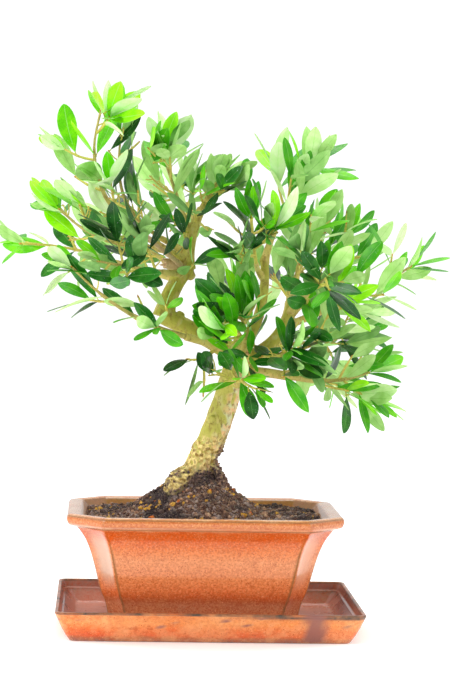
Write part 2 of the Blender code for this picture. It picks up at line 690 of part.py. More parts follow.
def build_masses(runs, collection):
    materials = {"old": make_material("leaves"), "young": make_material("young_leaves")}
    stems = {name: stem_run(mass, runs) for name, mass in MASSES.items()}
    limbs = [(run, max(LIMBS[name].radii)) for name, run in runs.items()]
    for name, mass in MASSES.items():
        stem = stems[name]
        others = [other for key, other in stems.items() if key != name]
        shoots, leaves = grow_mass(mass, (stem, others, limbs))
        limb_run = runs[mass.limb]
        stem_radii = (LIMBS[mass.limb].radii[1] * STEM_SHARE, TWIG_TIP)
        seat_aim = (limb_run[-1] - limb_run[-2]).normalized()
        rings = tube_rings(stem, stem_radii, STEM_SIDES, seat_aim)
        material = materials["young" if mass.leaf < 0.0295 else "old"]
        piece = make_object(name, loft(name, rings), collection, material)
        joined = bpy.data.collections.new(name + "_twigs")
        bpy.context.scene.collection.children.link(joined)
        for i, shoot in enumerate(shoots):
            rings = tube_rings(shoot.points, shoot.radii, TWIG_SIDES)
            make_object(f"{name}_twig_{i}", loft("twig", rings), joined)
        for i, leaf in enumerate(leaves):
            make_object(f"{name}_leaf_{i}", leaf_mesh("leaf", leaf), joined)
        apply_boolean(piece, "UNION", collection=joined)
        for loose in list(joined.objects):
            bpy.data.objects.remove(loose)
        bpy.data.collections.remove(joined)
        print(name, len(shoots), "shoots", len(leaves), "leaves", len(piece.data.polygons), "faces")


def main():
    for old in list(bpy.data.objects):
        bpy.data.objects.remove(old)
    plant = bpy.data.collections.new("olive_bonsai")
    cutters = bpy.data.collections.new("clearances")
    for collection in (plant, cutters):
        bpy.context.scene.collection.children.link(collection)
    build_tray(plant)
    build_pot(plant)
    runs = limb_runs()
    trunk_cutter = build_limbs(runs, plant, cutters)
    build_soil(plant, trunk_cutter)
    build_masses(runs, plant)
    for spare in list(cutters.objects):
        bpy.data.objects.remove(spare)
    bpy.data.collections.remove(cutters)
    for piece in plant.objects:
        if piece.name not in ("tray", "pot"):
            piece.data.shade_smooth()


main()
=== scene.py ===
import json
import math
import random
from collections import namedtuple

import bmesh
import bpy
import numpy as np
from mathutils import Matrix, Vector, noise

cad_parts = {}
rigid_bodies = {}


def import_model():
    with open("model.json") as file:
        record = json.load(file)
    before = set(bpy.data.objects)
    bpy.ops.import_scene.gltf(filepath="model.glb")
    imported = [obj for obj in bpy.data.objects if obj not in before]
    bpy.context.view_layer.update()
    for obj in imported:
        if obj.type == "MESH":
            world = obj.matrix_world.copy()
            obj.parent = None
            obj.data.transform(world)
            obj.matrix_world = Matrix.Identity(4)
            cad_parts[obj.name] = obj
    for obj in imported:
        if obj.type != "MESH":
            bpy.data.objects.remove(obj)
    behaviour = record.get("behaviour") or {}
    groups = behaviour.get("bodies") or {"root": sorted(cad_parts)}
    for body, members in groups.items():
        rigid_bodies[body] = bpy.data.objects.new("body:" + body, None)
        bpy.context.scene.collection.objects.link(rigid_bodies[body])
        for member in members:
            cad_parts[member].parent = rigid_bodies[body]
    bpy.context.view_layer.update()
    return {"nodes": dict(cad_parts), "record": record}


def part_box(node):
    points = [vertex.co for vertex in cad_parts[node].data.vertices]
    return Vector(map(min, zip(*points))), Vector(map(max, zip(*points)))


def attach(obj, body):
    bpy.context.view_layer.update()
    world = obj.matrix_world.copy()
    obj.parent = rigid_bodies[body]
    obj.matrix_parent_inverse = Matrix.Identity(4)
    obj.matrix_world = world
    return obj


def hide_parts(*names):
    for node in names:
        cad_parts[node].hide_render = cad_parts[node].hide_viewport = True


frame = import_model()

print("frame loaded:", len(frame["nodes"]), "nodes")


# Small helpers for colours and shader nodes

def paint(red, green, blue):
    # screen colour 0-255 to the linear values that shaders want
    shares = [value / 255 for value in (red, green, blue)]
    return (*[s / 12.92 if s < 0.04045 else ((s + 0.055) / 1.055) ** 2.4 for s in shares], 1.0)


def feed(tree, socket, value):
    if isinstance(value, bpy.types.NodeSocket):
        tree.links.new(value, socket)
    else:
        socket.default_value = value


def addNode(tree, kind, inputs=None, **settings):
    node = tree.nodes.new(kind)
    for key, value in settings.items():
        setattr(node, key, value)
    for key, value in (inputs or {}).items():
        feed(tree, node.inputs[key], value)
    return node


def maths(tree, operation, first, second=0.0, clamp=False):
    inputs = {0: first, 1: second}
    return addNode(tree, "ShaderNodeMath", inputs, operation=operation, use_clamp=clamp).outputs[0]


def plus(tree, first, second, clamp=False):
    return maths(tree, "ADD", first, second, clamp)


def minus(tree, first, second):
    return maths(tree, "SUBTRACT", first, second)


def times(tree, first, second, clamp=False):
    return maths(tree, "MULTIPLY", first, second, clamp)


def mixColors(tree, factor, first, second):
    return addNode(tree, "ShaderNodeMix", {0: factor, 6: first, 7: second}, data_type="RGBA").outputs[2]


def spread(tree, value, low, high):
    # stretches low..high to 0..1 with soft ends
    inputs = {"Value": value, "From Min": low, "From Max": high}
    return addNode(tree, "ShaderNodeMapRange", inputs, interpolation_type="SMOOTHSTEP").outputs[0]


def noiseValue(tree, size, detail=2.0, stretch=None):
    # noise with features of about size metres, longer along z by stretch
    place = addNode(tree, "ShaderNodeTexCoord").outputs["Object"]
    if stretch:
        squeeze = {0: place, 1: (1, 1, 1 / stretch)}
        place = addNode(tree, "ShaderNodeVectorMath", squeeze, operation="MULTIPLY").outputs[0]
    scale = maths(tree, "DIVIDE", 1.0, size)
    inputs = {"Vector": place, "Scale": scale, "Detail": detail}
    return addNode(tree, "ShaderNodeTexNoise", inputs).outputs[0]


def rampByHeight(tree, height, stops):
    # stops: heights in metres with their colours, lowest first
    low, high = stops[0][0], stops[-1][0]
    share = maths(tree, "DIVIDE", minus(tree, height, low), high - low)
    node = addNode(tree, "ShaderNodeValToRGB", {0: share})
    marks = node.color_ramp.elements
    for place, _ in stops[1:-1]:
        marks.new((place - low) / (high - low))
    for mark, (_, color) in zip(marks, stops):
        mark.color = color
    return node.outputs[0]


def attributeValue(tree, name):
    return addNode(tree, "ShaderNodeAttribute", attribute_name=name).outputs["Fac"]


def newGroup(name, inputs, outputs):
    tree = bpy.data.node_groups.new(name, "ShaderNodeTree")
    kinds = {"Color": "NodeSocketColor", "Value": "NodeSocketFloat"}
    for label, kind in inputs.items():
        tree.interface.new_socket(label, in_out="INPUT", socket_type=kinds[kind])
    for label, kind in outputs.items():
        tree.interface.new_socket(label, in_out="OUTPUT", socket_type=kinds[kind])
    return tree, tree.nodes.new("NodeGroupInput").outputs, tree.nodes.new("NodeGroupOutput").inputs


def useGroup(tree, group, inputs):
    node = tree.nodes.new("ShaderNodeGroup")
    node.node_tree = group
    for key, value in inputs.items():
        feed(tree, node.inputs[key], value)
    return node.outputs


def newMaterial(name, roughness, coat=0.0, specular=0.5):
    material = bpy.data.materials.new(name)
    material.use_nodes = True
    shader = material.node_tree.nodes["Principled BSDF"]
    shader.inputs["Roughness"].default_value = roughness
    shader.inputs["Coat Weight"].default_value = coat
    shader.inputs["Coat Roughness"].default_value = 0.08
    shader.inputs["Specular IOR Level"].default_value = specular
    return material, material.node_tree, shader.inputs


def addBump(tree, shaderInputs, height, distance, strength):
    inputs = {"Height": height, "Distance": distance, "Strength": strength}
    feed(tree, shaderInputs["Normal"], addNode(tree, "ShaderNodeBump", inputs).outputs["Normal"])


# Effects that several materials share

def makeMottle():
    # two colours in soft clouds
    tree, given, made = newGroup(
        "softMottle",
        {"First": "Color", "Second": "Color", "Size": "Value", "Contrast": "Value"},
        {"Color": "Color", "Mask": "Value"},
    )
    centred = minus(tree, noiseValue(tree, given["Size"], 4.0), 0.5)
    mask = plus(tree, times(tree, centred, given["Contrast"]), 0.5, clamp=True)
    feed(tree, made["Mask"], mask)
    feed(tree, made["Color"], mixColors(tree, mask, given["First"], given["Second"]))
    return tree


def makeSpeckle():
    # fine grains of a second colour
    tree, given, made = newGroup(
        "fineSpeckle",
        {"Color": "Color", "Speck Color": "Color", "Size": "Value", "Amount": "Value"},
        {"Color": "Color", "Mask": "Value"},
    )
    low = minus(tree, 0.72, times(tree, given["Amount"], 0.3))
    high = plus(tree, low, 0.08)
    mask = spread(tree, noiseValue(tree, given["Size"], 1.5), low, high)
    feed(tree, made["Mask"], mask)
    feed(tree, made["Color"], mixColors(tree, mask, given["Color"], given["Speck Color"]))
    return tree


def makeThinEdge():
    # the glaze runs thin where the mesh says there is an edge
    tree, given, made = newGroup(
        "thinEdge",
        {"Color": "Color", "Edge Color": "Color", "Amount": "Value"},
        {"Color": "Color", "Mask": "Value"},
    )
    uneven = plus(tree, 0.55, noiseValue(tree, 0.004))
    thin = times(tree, attributeValue(tree, "edge"), uneven)
    mask = times(tree, thin, given["Amount"], clamp=True)
    feed(tree, made["Mask"], mask)
    feed(tree, made["Color"], mixColors(tree, mask, given["Color"], given["Edge Color"]))
    return tree


def makeWoodGrain():
    # long fissures and small pores, dark in their depth
    tree, given, made = newGroup(
        "woodGrain",
        {"Color": "Color", "Crack Color": "Color", "Size": "Value", "Depth": "Value"},
        {"Color": "Color", "Height": "Value"},
    )
    fissures = noiseValue(tree, given["Size"], 5.0, stretch=2.5)
    pores = noiseValue(tree, times(tree, given["Size"], 0.3), 2.0)
    height = plus(tree, times(tree, fissures, 0.7), times(tree, pores, 0.3))
    dark = times(tree, spread(tree, height, 0.5, 0.36), given["Depth"], clamp=True)
    feed(tree, made["Height"], height)
    feed(tree, made["Color"], mixColors(tree, dark, given["Color"], given["Crack Color"]))
    return tree


def makeLeafSurface():
    # soft blotches, rib, side veins and margin from the leaf's own map, and pale specks: painted glints,
    # some of them spots of dried water
    tree, given, made = newGroup(
        "leafSurface",
        {"Color": "Color", "Other Color": "Color", "Line Color": "Color", "Lines": "Value",
         "Speck Color": "Color", "Glints And Spots": "Value"},
        {"Color": "Color", "Roughness": "Value", "Height": "Value"},
    )
    leafMap = addNode(tree, "ShaderNodeUVMap", uv_map="leafMap").outputs[0]
    fromLeft, fromBase = addNode(tree, "ShaderNodeSeparateXYZ", {0: leafMap}).outputs[:2]
    sideways = maths(tree, "ABSOLUTE", minus(tree, fromLeft, 0.5))
    rib = spread(tree, sideways, 0.034, 0.010)
    rim = times(tree, spread(tree, sideways, 0.455, 0.492), 0.6)
    lines = times(tree, maths(tree, "MAXIMUM", rib, rim), given["Lines"])
    slant = minus(tree, fromBase, times(tree, sideways, 0.5))
    veins = maths(tree, "SINE", times(tree, slant, 70.0))
    cloud = noiseValue(tree, 0.009, 3.0)
    fine = noiseValue(tree, 0.0011, 2.0)
    blotch = spread(tree, cloud, 0.34, 0.68)
    tint = plus(tree, blotch, times(tree, veins, 0.06), clamp=True)
    glintsAndSpots = times(tree, spread(tree, fine, 0.69, 0.76), given["Glints And Spots"])
    color = mixColors(tree, tint, given["Color"], given["Other Color"])
    color = mixColors(tree, lines, color, given["Line Color"])
    feed(tree, made["Color"], mixColors(tree, glintsAndSpots, color, given["Speck Color"]))
    feed(tree, made["Roughness"], plus(tree, 0.24, times(tree, cloud, 0.3)))
    relief = plus(tree, times(tree, veins, 0.12), times(tree, fine, 0.4))
    feed(tree, made["Height"], minus(tree, relief, times(tree, rib, 0.8)))
    return tree


mottle = makeMottle()
speckle = makeSpeckle()
thinEdge = makeThinEdge()
woodGrain = makeWoodGrain()
leafSurface = makeLeafSurface()
print("shared shader groups made")


def mottled(tree, first, second, size, contrast):
    inputs = {"First": first, "Second": second, "Size": size, "Contrast": contrast}
    return useGroup(tree, mottle, inputs)


def speckled(tree, color, speckColor, size, amount):
    inputs = {"Color": color, "Speck Color": speckColor, "Size": size, "Amount": amount}
    return useGroup(tree, speckle, inputs)


def grained(tree, color, crackColor, size, depth):
    inputs = {"Color": color, "Crack Color": crackColor, "Size": size, "Depth": depth}
    return useGroup(tree, woodGrain, inputs)


# Meshes are gathered in bins of points and faces

class MeshBin:
    def __init__(self):
        self.points = []
        self.faces = []
        self.slots = []
        self.maps = []

    def add(self, points, faces, slots, maps=None):
        start = len(self.points)
        self.points += points
        self.faces += [[start + i for i in face] for face in faces]
        self.slots += slots
        self.maps += maps or [(0.5, 0.5)] * len(points)


def makePiece(name, pile, materials, mapName=None):
    mesh = bpy.data.meshes.new(name)
    mesh.from_pydata([tuple(point) for point in pile.points], [], pile.faces)
    bm = bmesh.new()
    bm.from_mesh(mesh)
    bmesh.ops.recalc_face_normals(bm, faces=bm.faces)
    bm.to_mesh(mesh)
    bm.free()
    for material in materials:
        mesh.materials.append(material)
    mesh.polygons.foreach_set("material_index", pile.slots)
    mesh.polygons.foreach_set("use_smooth", [True] * len(mesh.polygons))
    if mapName:
        corners = np.zeros(len(mesh.loops), dtype=np.int32)
        mesh.loops.foreach_get("vertex_index", corners)
        layer = mesh.uv_layers.new(name=mapName)
        layer.data.foreach_set("uv", np.array(pile.maps, dtype=np.float32)[corners].ravel())
    mesh.update()
    piece = bpy.data.objects.new(name, mesh)
    bpy.context.scene.collection.objects.link(piece)
    return piece


def setAttribute(piece, name, values):
    layer = piece.data.attributes.new(name, "FLOAT", "POINT")
    layer.data.foreach_set("value", values)


def ringFaces(layers, count):
    # quads between rings of equal count, in point order
    faces = []
    for row in range(layers - 1):
        for i in range(count):
            a = row * count + i
            b = row * count + (i + 1) % count
            faces.append((a, b, b + count, a + count))
    return faces


def loftInto(pile, rings, slot=0):
    count = len(rings[0])
    faces = ringFaces(len(rings), count)
    faces.append(tuple(range(count)))
    faces.append(tuple(range((len(rings) - 1) * count, len(rings) * count)))
    pile.add([point for ring in rings for point in ring], faces, [slot] * len(faces))


def climb(value, start, span):
    # 0 up to start, 1 from start + span on
    return min(max((value - start) / span, 0.0), 1.0)


def hump(value, middle, half):
    # 1 in the middle, 0 from half away on
    return max(0.0, 1 - abs(value - middle) / half)


def smoothThrough(values, steps):
    # Catmull-Rom through tuples or vectors, steps between each two
    made = []
    last = len(values) - 1
    for i in range(last):
        a, b, c, d = (values[min(max(k, 0), last)] for k in (i - 1, i, i + 1, i + 2))
        for k in range(steps):
            t = k / steps
            weights = (
                -t + 2 * t ** 2 - t ** 3, 2 - 5 * t ** 2 + 3 * t ** 3,
                t + 4 * t ** 2 - 3 * t ** 3, t ** 3 - t ** 2,
            )
            pulls = tuple(zip(weights, (a, b, c, d)))
            made.append(tuple(sum(w * p[j] for w, p in pulls) / 2 for j in range(len(a))))
    made.append(tuple(values[last]))
    return made


def heading(azimuth, rise):
    turn = math.radians(azimuth)
    lift = math.radians(rise)
    return Vector((math.cos(turn) * math.cos(lift), math.sin(turn) * math.cos(lift), math.sin(lift)))


# Pot

pot = {
    "shift": -0.0036,               # stands a little left of the tray's middle
    "top": 0.0882,
    "rim": (0.1000, 0.0755),        # half sizes
    "mouth": (0.0875, 0.0630),
    "dent": 0.0016,                 # hollow of the corner panels
    "softCorner": 0.0017,
    # drop below the rim, inset from the rim, corner cut
    "outside": (
        (0.0817, 0.0332, 0.0120), (0.0812, 0.0323, 0.0120), (0.0755, 0.0306, 0.0124),
        (0.0735, 0.0303, 0.0126), (0.0660, 0.0286, 0.0128), (0.0565, 0.0250, 0.0134),
        (0.0380, 0.0202, 0.0146), (0.0280, 0.0173, 0.0156), (0.0190, 0.0137, 0.0168),
        (0.0130, 0.0100, 0.0180), (0.0100, 0.0074, 0.0200), (0.0087, 0.0046, 0.0218),
        (0.0079, 0.0020, 0.0238), (0.0062, 0.0006, 0.0252), (0.0040, 0.0000, 0.0260),
        (0.0016, 0.0004, 0.0262), (0.0003, 0.0020, 0.0258), (0.0000, 0.0045, 0.0240),
    ),
    # drop, inset from the mouth, corner cut
    "inside": (
        (0.0006, -0.0030, 0.0190), (0.0028, 0.0000, 0.0160), (0.0120, 0.0050, 0.0150),
        (0.0400, 0.0130, 0.0130), (0.0707, 0.0230, 0.0110), (0.0737, 0.0270, 0.0100),
    ),
    "frontSteps": 24, "sideSteps": 18, "cornerSteps": 9,
    "profileSteps": 4,
    # share of the way round a corner, and how thin the glaze is there
    "cornerWear": ((0, 0.05), (0.25, 0.45), (0.5, 0.85), (0.75, 0.45), (1, 0.05)),
    "wallWear": 0.25,               # share of that wear from the rim down to where it starts to grow
    "mouthWear": (0.2, 0.75),       # at the very top of the inside, and below
    # worn lip; dark line under the band, thin glaze with painted shade in the recess under the lip's
    # overhang; pale line on the band, a painted highlight: drop below the rim, half width, strength
    "lip": (0.0015, 0.0009, 0.9),
    "under": (0.0090, 0.0008, 0.85),
    "lipHighlight": (0.0074, 0.0011, 0.7),
    # drop where each starts or ends, and over how much it grows to its full strength or fades
    "dentStarts": (0.008, 0.006),
    "wearStarts": (0.014, 0.014),
    "sheenStarts": (0.010, 0.010), "sheenEnds": (0.056, 0.014),
    # the corner panels carry a painted sheen, a pale highlight streak
    "sheenStreak": (0.56, 1.9),          # pale stretch on a corner panel: share from the side, sharpness
    "glaze": {
        # heights over the ground and the glaze's colours there; the cream line at 0.0796 and the palest
        # stops on the rim's top are painted highlights
        "stops": (
            (0.0075, paint(160, 104, 72)), (0.0230, paint(198, 132, 94)), (0.0262, paint(190, 98, 54)),
            (0.0290, paint(214, 98, 46)), (0.0335, paint(236, 126, 72)), (0.0430, paint(238, 144, 88)),
            (0.0550, paint(242, 158, 100)), (0.0640, paint(238, 124, 48)), (0.0720, paint(222, 84, 0)),
            (0.0778, paint(214, 84, 8)), (0.0796, paint(246, 206, 160)), (0.0808, paint(196, 108, 46)),
            (0.0850, paint(198, 122, 60)), (0.0862, paint(186, 106, 50)), (0.0874, paint(226, 164, 112)),
            (0.0881, paint(238, 198, 158)),
        ),
        "wanderSize": 0.012, "ragged": 0.0042,
        "cloud": paint(220, 136, 76), "cloudSize": 0.014, "cloudAmount": 0.40,
        "speck": paint(168, 62, 16), "mottleSize": 0.0017, "mottleAmount": 0.50,
        "stainAmount": 0.30, "fleck": 0.34,
        "grain": paint(250, 176, 122), "paleSize": 0.0014, "paleAmount": 0.22, "grainAmount": 0.16,
        "edge": paint(126, 90, 46), "edgeAmount": 0.9,
        # corner-panel colours, left and right: a painted sheen, whiter on the left
        "bareAndSheen": (paint(208, 174, 152), paint(230, 164, 130)), "bareAndSheenAmount": 0.82,
        "coat": 0.7, "rough": 0.14,
    },
}


def potRing(halfX, halfY, cut, dent, z):
    # an oblong with cut corners: soft edges, and each corner panel hollowed and given a painted sheen
    # streak
    corners = []
    for signX, signY in ((1, 1), (-1, 1), (-1, -1), (1, -1)):
        onSide = Vector((signX * halfX, signY * (halfY - cut), z))
        onFront = Vector((signX * (halfX - cut), signY * halfY, z))
        corners += [onSide, onFront] if signX * signY > 0 else [onFront, onSide]
    points, edges, sheenMarks = [], [], []
    soft = pot["softCorner"]
    place, sharp = pot["sheenStreak"]
    for k, corner in enumerate(corners):
        before = (corners[k - 1] - corner).normalized() * soft
        after = (corners[(k + 1) % 8] - corner).normalized() * soft
        for t, wear in pot["cornerWear"]:
            points.append(corner + before * (1 - t) ** 2 + after * t ** 2)
            edges.append(wear)
            sheenMarks.append(0.0)
        isPanel = k % 2 == 0
        isFront = k % 4 == 1
        steps = pot["cornerSteps"] if isPanel else pot["frontSteps"] if isFront else pot["sideSteps"]
        nextCorner = corners[(k + 1) % 8]
        start, end = points[-1], nextCorner + (corner - nextCorner).normalized() * soft
        inward = -((start + end) / 2 * Vector((1, 1, 0))).normalized()
        for i in range(1, steps):
            share = i / steps
            hollow = dent * 4 * share * (1 - share) if isPanel else 0.0
            points.append(start.lerp(end, share) + inward * hollow)
            edges.append(0.0)
            toFront = share if k in (0, 4) else 1 - share
            # painted sheen: a pale highlight streak down each corner panel
            sheenStreak = max(0.0, sharp - sharp * abs(toFront - place) / place)
            sheenMarks.append(min(1.0, sheenStreak) if isPanel else 0.0)
    shift = Vector((pot["shift"], 0, 0))
    return [point + shift for point in points], edges, sheenMarks


def glazeMaterial(name, tones):
    # the glaze is thin at the rim and on edges, and darkens towards the bottom
    material, tree, shader = newMaterial(name, 0.25, coat=tones["coat"], specular=0.3)
    place = addNode(tree, "ShaderNodeTexCoord").outputs["Object"]
    sideways, _, height = addNode(tree, "ShaderNodeSeparateXYZ", {0: place}).outputs
    wander = minus(tree, noiseValue(tree, tones["wanderSize"], 4.0), 0.5)
    ragged = plus(tree, height, times(tree, wander, tones["ragged"]))
    color = rampByHeight(tree, ragged, tones["stops"])
    clouds = mottled(tree, color, tones["cloud"], tones["cloudSize"], 2.0)
    color = mixColors(tree, tones["cloudAmount"], color, clouds["Color"])
    fine = mottled(tree, color, tones["speck"], tones["mottleSize"], 3.4)
    color = mixColors(tree, tones["mottleAmount"], color, fine["Color"])
    pale = spread(tree, noiseValue(tree, tones["paleSize"], 3.0), 0.46, 0.66)
    color = mixColors(tree, times(tree, pale, tones["paleAmount"]), color, tones["grain"])
    stains = spread(tree, noiseValue(tree, 0.007, 3.0), 0.62, 0.72)
    color = mixColors(tree, times(tree, stains, tones["stainAmount"]), color, tones["speck"])
    dots = speckled(tree, color, tones["speck"], 0.0008, tones["fleck"])
    grains = speckled(tree, dots["Color"], tones["grain"], 0.0007, tones["grainAmount"])
    worn = {"Color": grains["Color"], "Edge Color": tones["edge"], "Amount": tones["edgeAmount"]}
    worn = useGroup(tree, thinEdge, worn)
    # this mask is bare, thin glaze on the tray; on the pot it holds the painted sheen of the corner panels
    # and the painted highlight of the lip's pale line, whiter on the left
    bareAndSheen = times(tree, attributeValue(tree, "bareAndSheen"), tones["bareAndSheenAmount"])
    bareAndSheenColor = mixColors(tree, spread(tree, sideways, -0.03, 0.03), *tones["bareAndSheen"])
    feed(tree, shader["Base Color"], mixColors(tree, bareAndSheen, worn["Color"], bareAndSheenColor))
    rough = plus(tree, tones["rough"], times(tree, clouds["Mask"], 0.12))
    feed(tree, shader["Roughness"], plus(tree, rough, times(tree, worn["Mask"], 0.2)))
    orangePeel = times(tree, noiseValue(tree, 0.006, 2.0), 0.8)
    waves = plus(tree, orangePeel, times(tree, dots["Mask"], 0.12))
    addBump(tree, shader, waves, 0.0006, 0.35)
    return material


def buildPot():
    rings, edges, sheenMarks = [], [], []
    for drop, inset, cut in smoothThrough(pot["outside"], pot["profileSteps"]):
        halfX, halfY = (half - inset for half in pot["rim"])
        dent = pot["dent"] * climb(drop, *pot["dentStarts"])
        ring, edge, ringSheen = potRing(halfX, halfY, cut, dent, pot["top"] - drop)
        rings.append(ring)
        # under: dark line below the lip, thin glaze with painted shade under the overhang; the pale line on
        # the band: a painted highlight
        lip, under, lipHighlight = (
            hump(drop, middle, half) * strength
            for middle, half, strength in (pot["lip"], pot["under"], pot["lipHighlight"]))
        wear = pot["wallWear"] + (1 - pot["wallWear"]) * climb(drop, *pot["wearStarts"])
        edges += [max(e * wear, lip, under) for e in edge]
        # the painted sheen on the corner panels fades in below the lip and out towards the foot
        end, span = pot["sheenEnds"]
        sheenStreak = climb(drop, *pot["sheenStarts"]) * (1 - climb(drop, end - span, span))
        sheenMarks += [max(p * sheenStreak, lipHighlight) for p in ringSheen]
    for drop, inset, cut in smoothThrough(pot["inside"], pot["profileSteps"]):
        halfX, halfY = (half - inset for half in pot["mouth"])
        ring, edge, _ = potRing(halfX, halfY, cut, 0.0, pot["top"] - drop)
        rings.append(ring)
        atTop, below = pot["mouthWear"]
        edges += [below if drop > 0.001 else atTop] * len(edge)
        sheenMarks += [0.0] * len(edge)
    pile = MeshBin()
    loftInto(pile, rings)
    piece = makePiece("glazed_pot", pile, [glazeMaterial("pot_glaze", pot["glaze"])])
    setAttribute(piece, "edge", edges)
    setAttribute(piece, "bareAndSheen", sheenMarks)
    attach(piece, "root")
    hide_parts("pot")


buildPot()
print("pot made")


# Drip tray

tray = {
    "foot": (0.1005, 0.0722),
    "rim": (0.1105, 0.0836),
    "height": 0.0222,
    "floor": 0.0062,
    "corner": 0.0058,
    "frontSteps": 40, "sideSteps": 28, "cornerSteps": 7,
    "profileSteps": 4,
    "patch": (0.0670, 0.0820),      # a stretch of the front where the glaze is thin
    "patchFades": (0.0006, 0.0009),
    "rimBand": (0.0016, 0.0032),    # drop and inset that the bare rim reaches
    "greyLine": (0.0022, 0.0012, 0.9),      # drop, width and strength of the dark line under the rim
    "greyFrom": (0.03, 0.02),       # on the right, from this x on, and how softly
    "chips": (0.50, 6, 0.011),      # bare chips on the front: threshold, sharpness, lowest drop
    "innerFrom": 0.0026,            # inset where the darker inside glaze starts
    "glaze": {
        "stops": (
            (0.0004, paint(104, 80, 86)), (0.0030, paint(150, 72, 44)), (0.0050, paint(222, 76, 4)),
            (0.0098, paint(230, 98, 20)), (0.0150, paint(240, 144, 66)), (0.0222, paint(214, 108, 48)),
        ),
        "wanderSize": 0.016, "ragged": 0.0040,
        "cloud": paint(240, 168, 106), "cloudSize": 0.022, "cloudAmount": 0.75,
        "speck": paint(184, 74, 18), "mottleSize": 0.0022, "mottleAmount": 0.40,
        "stainAmount": 0.5, "fleck": 0.3,
        "grain": paint(244, 178, 118), "paleSize": 0.0090, "paleAmount": 0.32, "grainAmount": 0.25,
        "edge": paint(72, 62, 52), "edgeAmount": 1.0,
        "bareAndSheen": (paint(150, 96, 88), paint(138, 88, 80)), "bareAndSheenAmount": 1.0,
        "coat": 0.35, "rough": 0.18,
    },
    # what is different on the inside
    "insideGlaze": {
        "stops": (
            (0.0060, paint(188, 124, 100)), (0.0085, paint(164, 104, 84)), (0.0136, paint(118, 66, 50)),
            (0.0150, paint(44, 26, 20)), (0.0162, paint(104, 60, 44)), (0.0222, paint(74, 44, 34)),
        ),
        "ragged": 0.0006, "cloud": paint(208, 160, 140), "cloudAmount": 0.5, "speck": paint(168, 64, 18),
        "grain": paint(142, 98, 86), "paleAmount": 0.2, "coat": 0.32, "rough": 0.24,
    },
}


def trayRing(halfX, halfY, radius, z):
    points = []
    for quarter, (signX, signY) in enumerate(((1, 1), (-1, 1), (-1, -1), (1, -1))):
        middle = Vector((signX * (halfX - radius), signY * (halfY - radius), z))
        for step in range(tray["cornerSteps"]):
            turn = math.radians(90 * quarter + 90 * step / (tray["cornerSteps"] - 1))
            points.append(middle + Vector((math.cos(turn), math.sin(turn), 0)) * radius)
        isLong = quarter % 2 == 0
        steps = tray["frontSteps"] if isLong else tray["sideSteps"]
        nextX, nextY = ((-1, 1), (-1, -1), (1, -1), (1, 1))[quarter]
        turn = math.radians(90 * quarter + 90)
        outwards = Vector((math.cos(turn), math.sin(turn), 0)) * radius
        end = Vector((nextX * (halfX - radius), nextY * (halfY - radius), z)) + outwards
        points += [points[-1].lerp(end, i / steps) for i in range(1, steps)]
    return points


def trayOutline(depth, flare):
    # drop below the rim, inset from it: up the outside, over the rim, down the inside
    inside = depth - tray["floor"]
    profile = (
        (depth, flare + 0.0024), (depth - 0.0003, flare + 0.0008), (depth - 0.0018, flare - 0.0006),
        (depth * 0.62, flare * 0.56), (depth * 0.30, flare * 0.24), (0.0024, 0.0006), (0.0008, 0.0000),
        (0.0001, 0.0005), (0.0000, 0.0014), (0.0003, 0.0024), (0.0038, 0.0036), (0.0058, 0.0042),
        (0.0066, 0.0058), (0.0074, 0.0064), (inside - 0.0024, 0.0116), (inside - 0.0004, 0.0136),
        (inside, 0.0160),
    )
    return smoothThrough(profile, tray["profileSteps"])


def buildTray():
    rimX, rimY = tray["rim"]
    footX, footY = tray["foot"]
    flare = rimX - footX
    depth = tray["height"]
    outline = trayOutline(depth, flare)
    rings, edges, bareAndSheen = [], [], []
    start, end = tray["patch"]
    startFade, endFade = tray["patchFades"]
    greyDrop, greyWidth, greyStrength = tray["greyLine"]
    greyStart, greyFade = tray["greyFrom"]
    chipFrom, chipSharp, chipDrop = tray["chips"]
    for drop, inset in outline:
        halfY = rimY - inset * (rimY - footY) / flare if inset <= flare else footY - (inset - flare)
        radius = max(tray["corner"] - inset * 0.15, 0.002)
        ring = trayRing(rimX - inset, halfY, radius, depth - drop)
        rimBand = 1.0 if drop < tray["rimBand"][0] and inset < tray["rimBand"][1] else 0.0
        line = math.exp(-((drop - greyDrop) / greyWidth) ** 2) if inset < 0.003 else 0.0
        for point in ring:
            uneven = noise.noise(point * 90)
            lowOnRight = 0.5 + 0.5 * math.tanh((point.x - greyStart) / greyFade)
            edges.append(max(rimBand * (0.65 + 0.5 * uneven), line * lowOnRight * greyStrength))
            inPatch = 1 / (1 + math.exp(-(point.x - start) / startFade))
            inPatch /= 1 + math.exp((point.x - end) / endFade)
            onFront = point.y < -footY and inset < flare + 0.001 and drop < depth - 0.001
            chips = 0.0
            if onFront and drop < chipDrop:
                chips = max(0.0, noise.noise(point * 260) - chipFrom) * chipSharp
            bareAndSheen.append(min(1.0, max(inPatch * 0.9 if onFront else 0.0, chips)))
        rings.append(ring)
    pile = MeshBin()
    loftInto(pile, rings)
    overRim = 5 * tray["profileSteps"]      # the profile's sixth point, where the rim begins
    isInside = (k > overRim and inset > tray["innerFrom"] for k, (_, inset) in enumerate(outline))
    firstInner = list(isInside).index(True)
    perRing = len(rings[0])
    outside = glazeMaterial("tray_glaze", tray["glaze"])
    inside = glazeMaterial("tray_inner_glaze", dict(tray["glaze"], **tray["insideGlaze"]))
    piece = makePiece("drip_tray", pile, [outside, inside])
    isInner = [0] * len(pile.faces)
    for k in range(firstInner * perRing, perRing * (len(rings) - 1)):
        isInner[k] = 1
    isInner[-1] = 1                 # the floor
    piece.data.polygons.foreach_set("material_index", isInner)
    setAttribute(piece, "edge", edges)
    setAttribute(piece, "bareAndSheen", bareAndSheen)
    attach(piece, "root")
    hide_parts("tray")


buildTray()
print("tray made")


# The plant's limbs and masses, as in the solids: headings are (azimuth, rise) in degrees

Limb = namedtuple("Limb", "parent at first last length radii")
Mass = namedtuple("Mass", "limb last length shoots leaf seed")
Shoot = namedtuple("Shoot", "points radii spray")
Leaf = namedtuple("Leaf", "base aim face length youth spray")

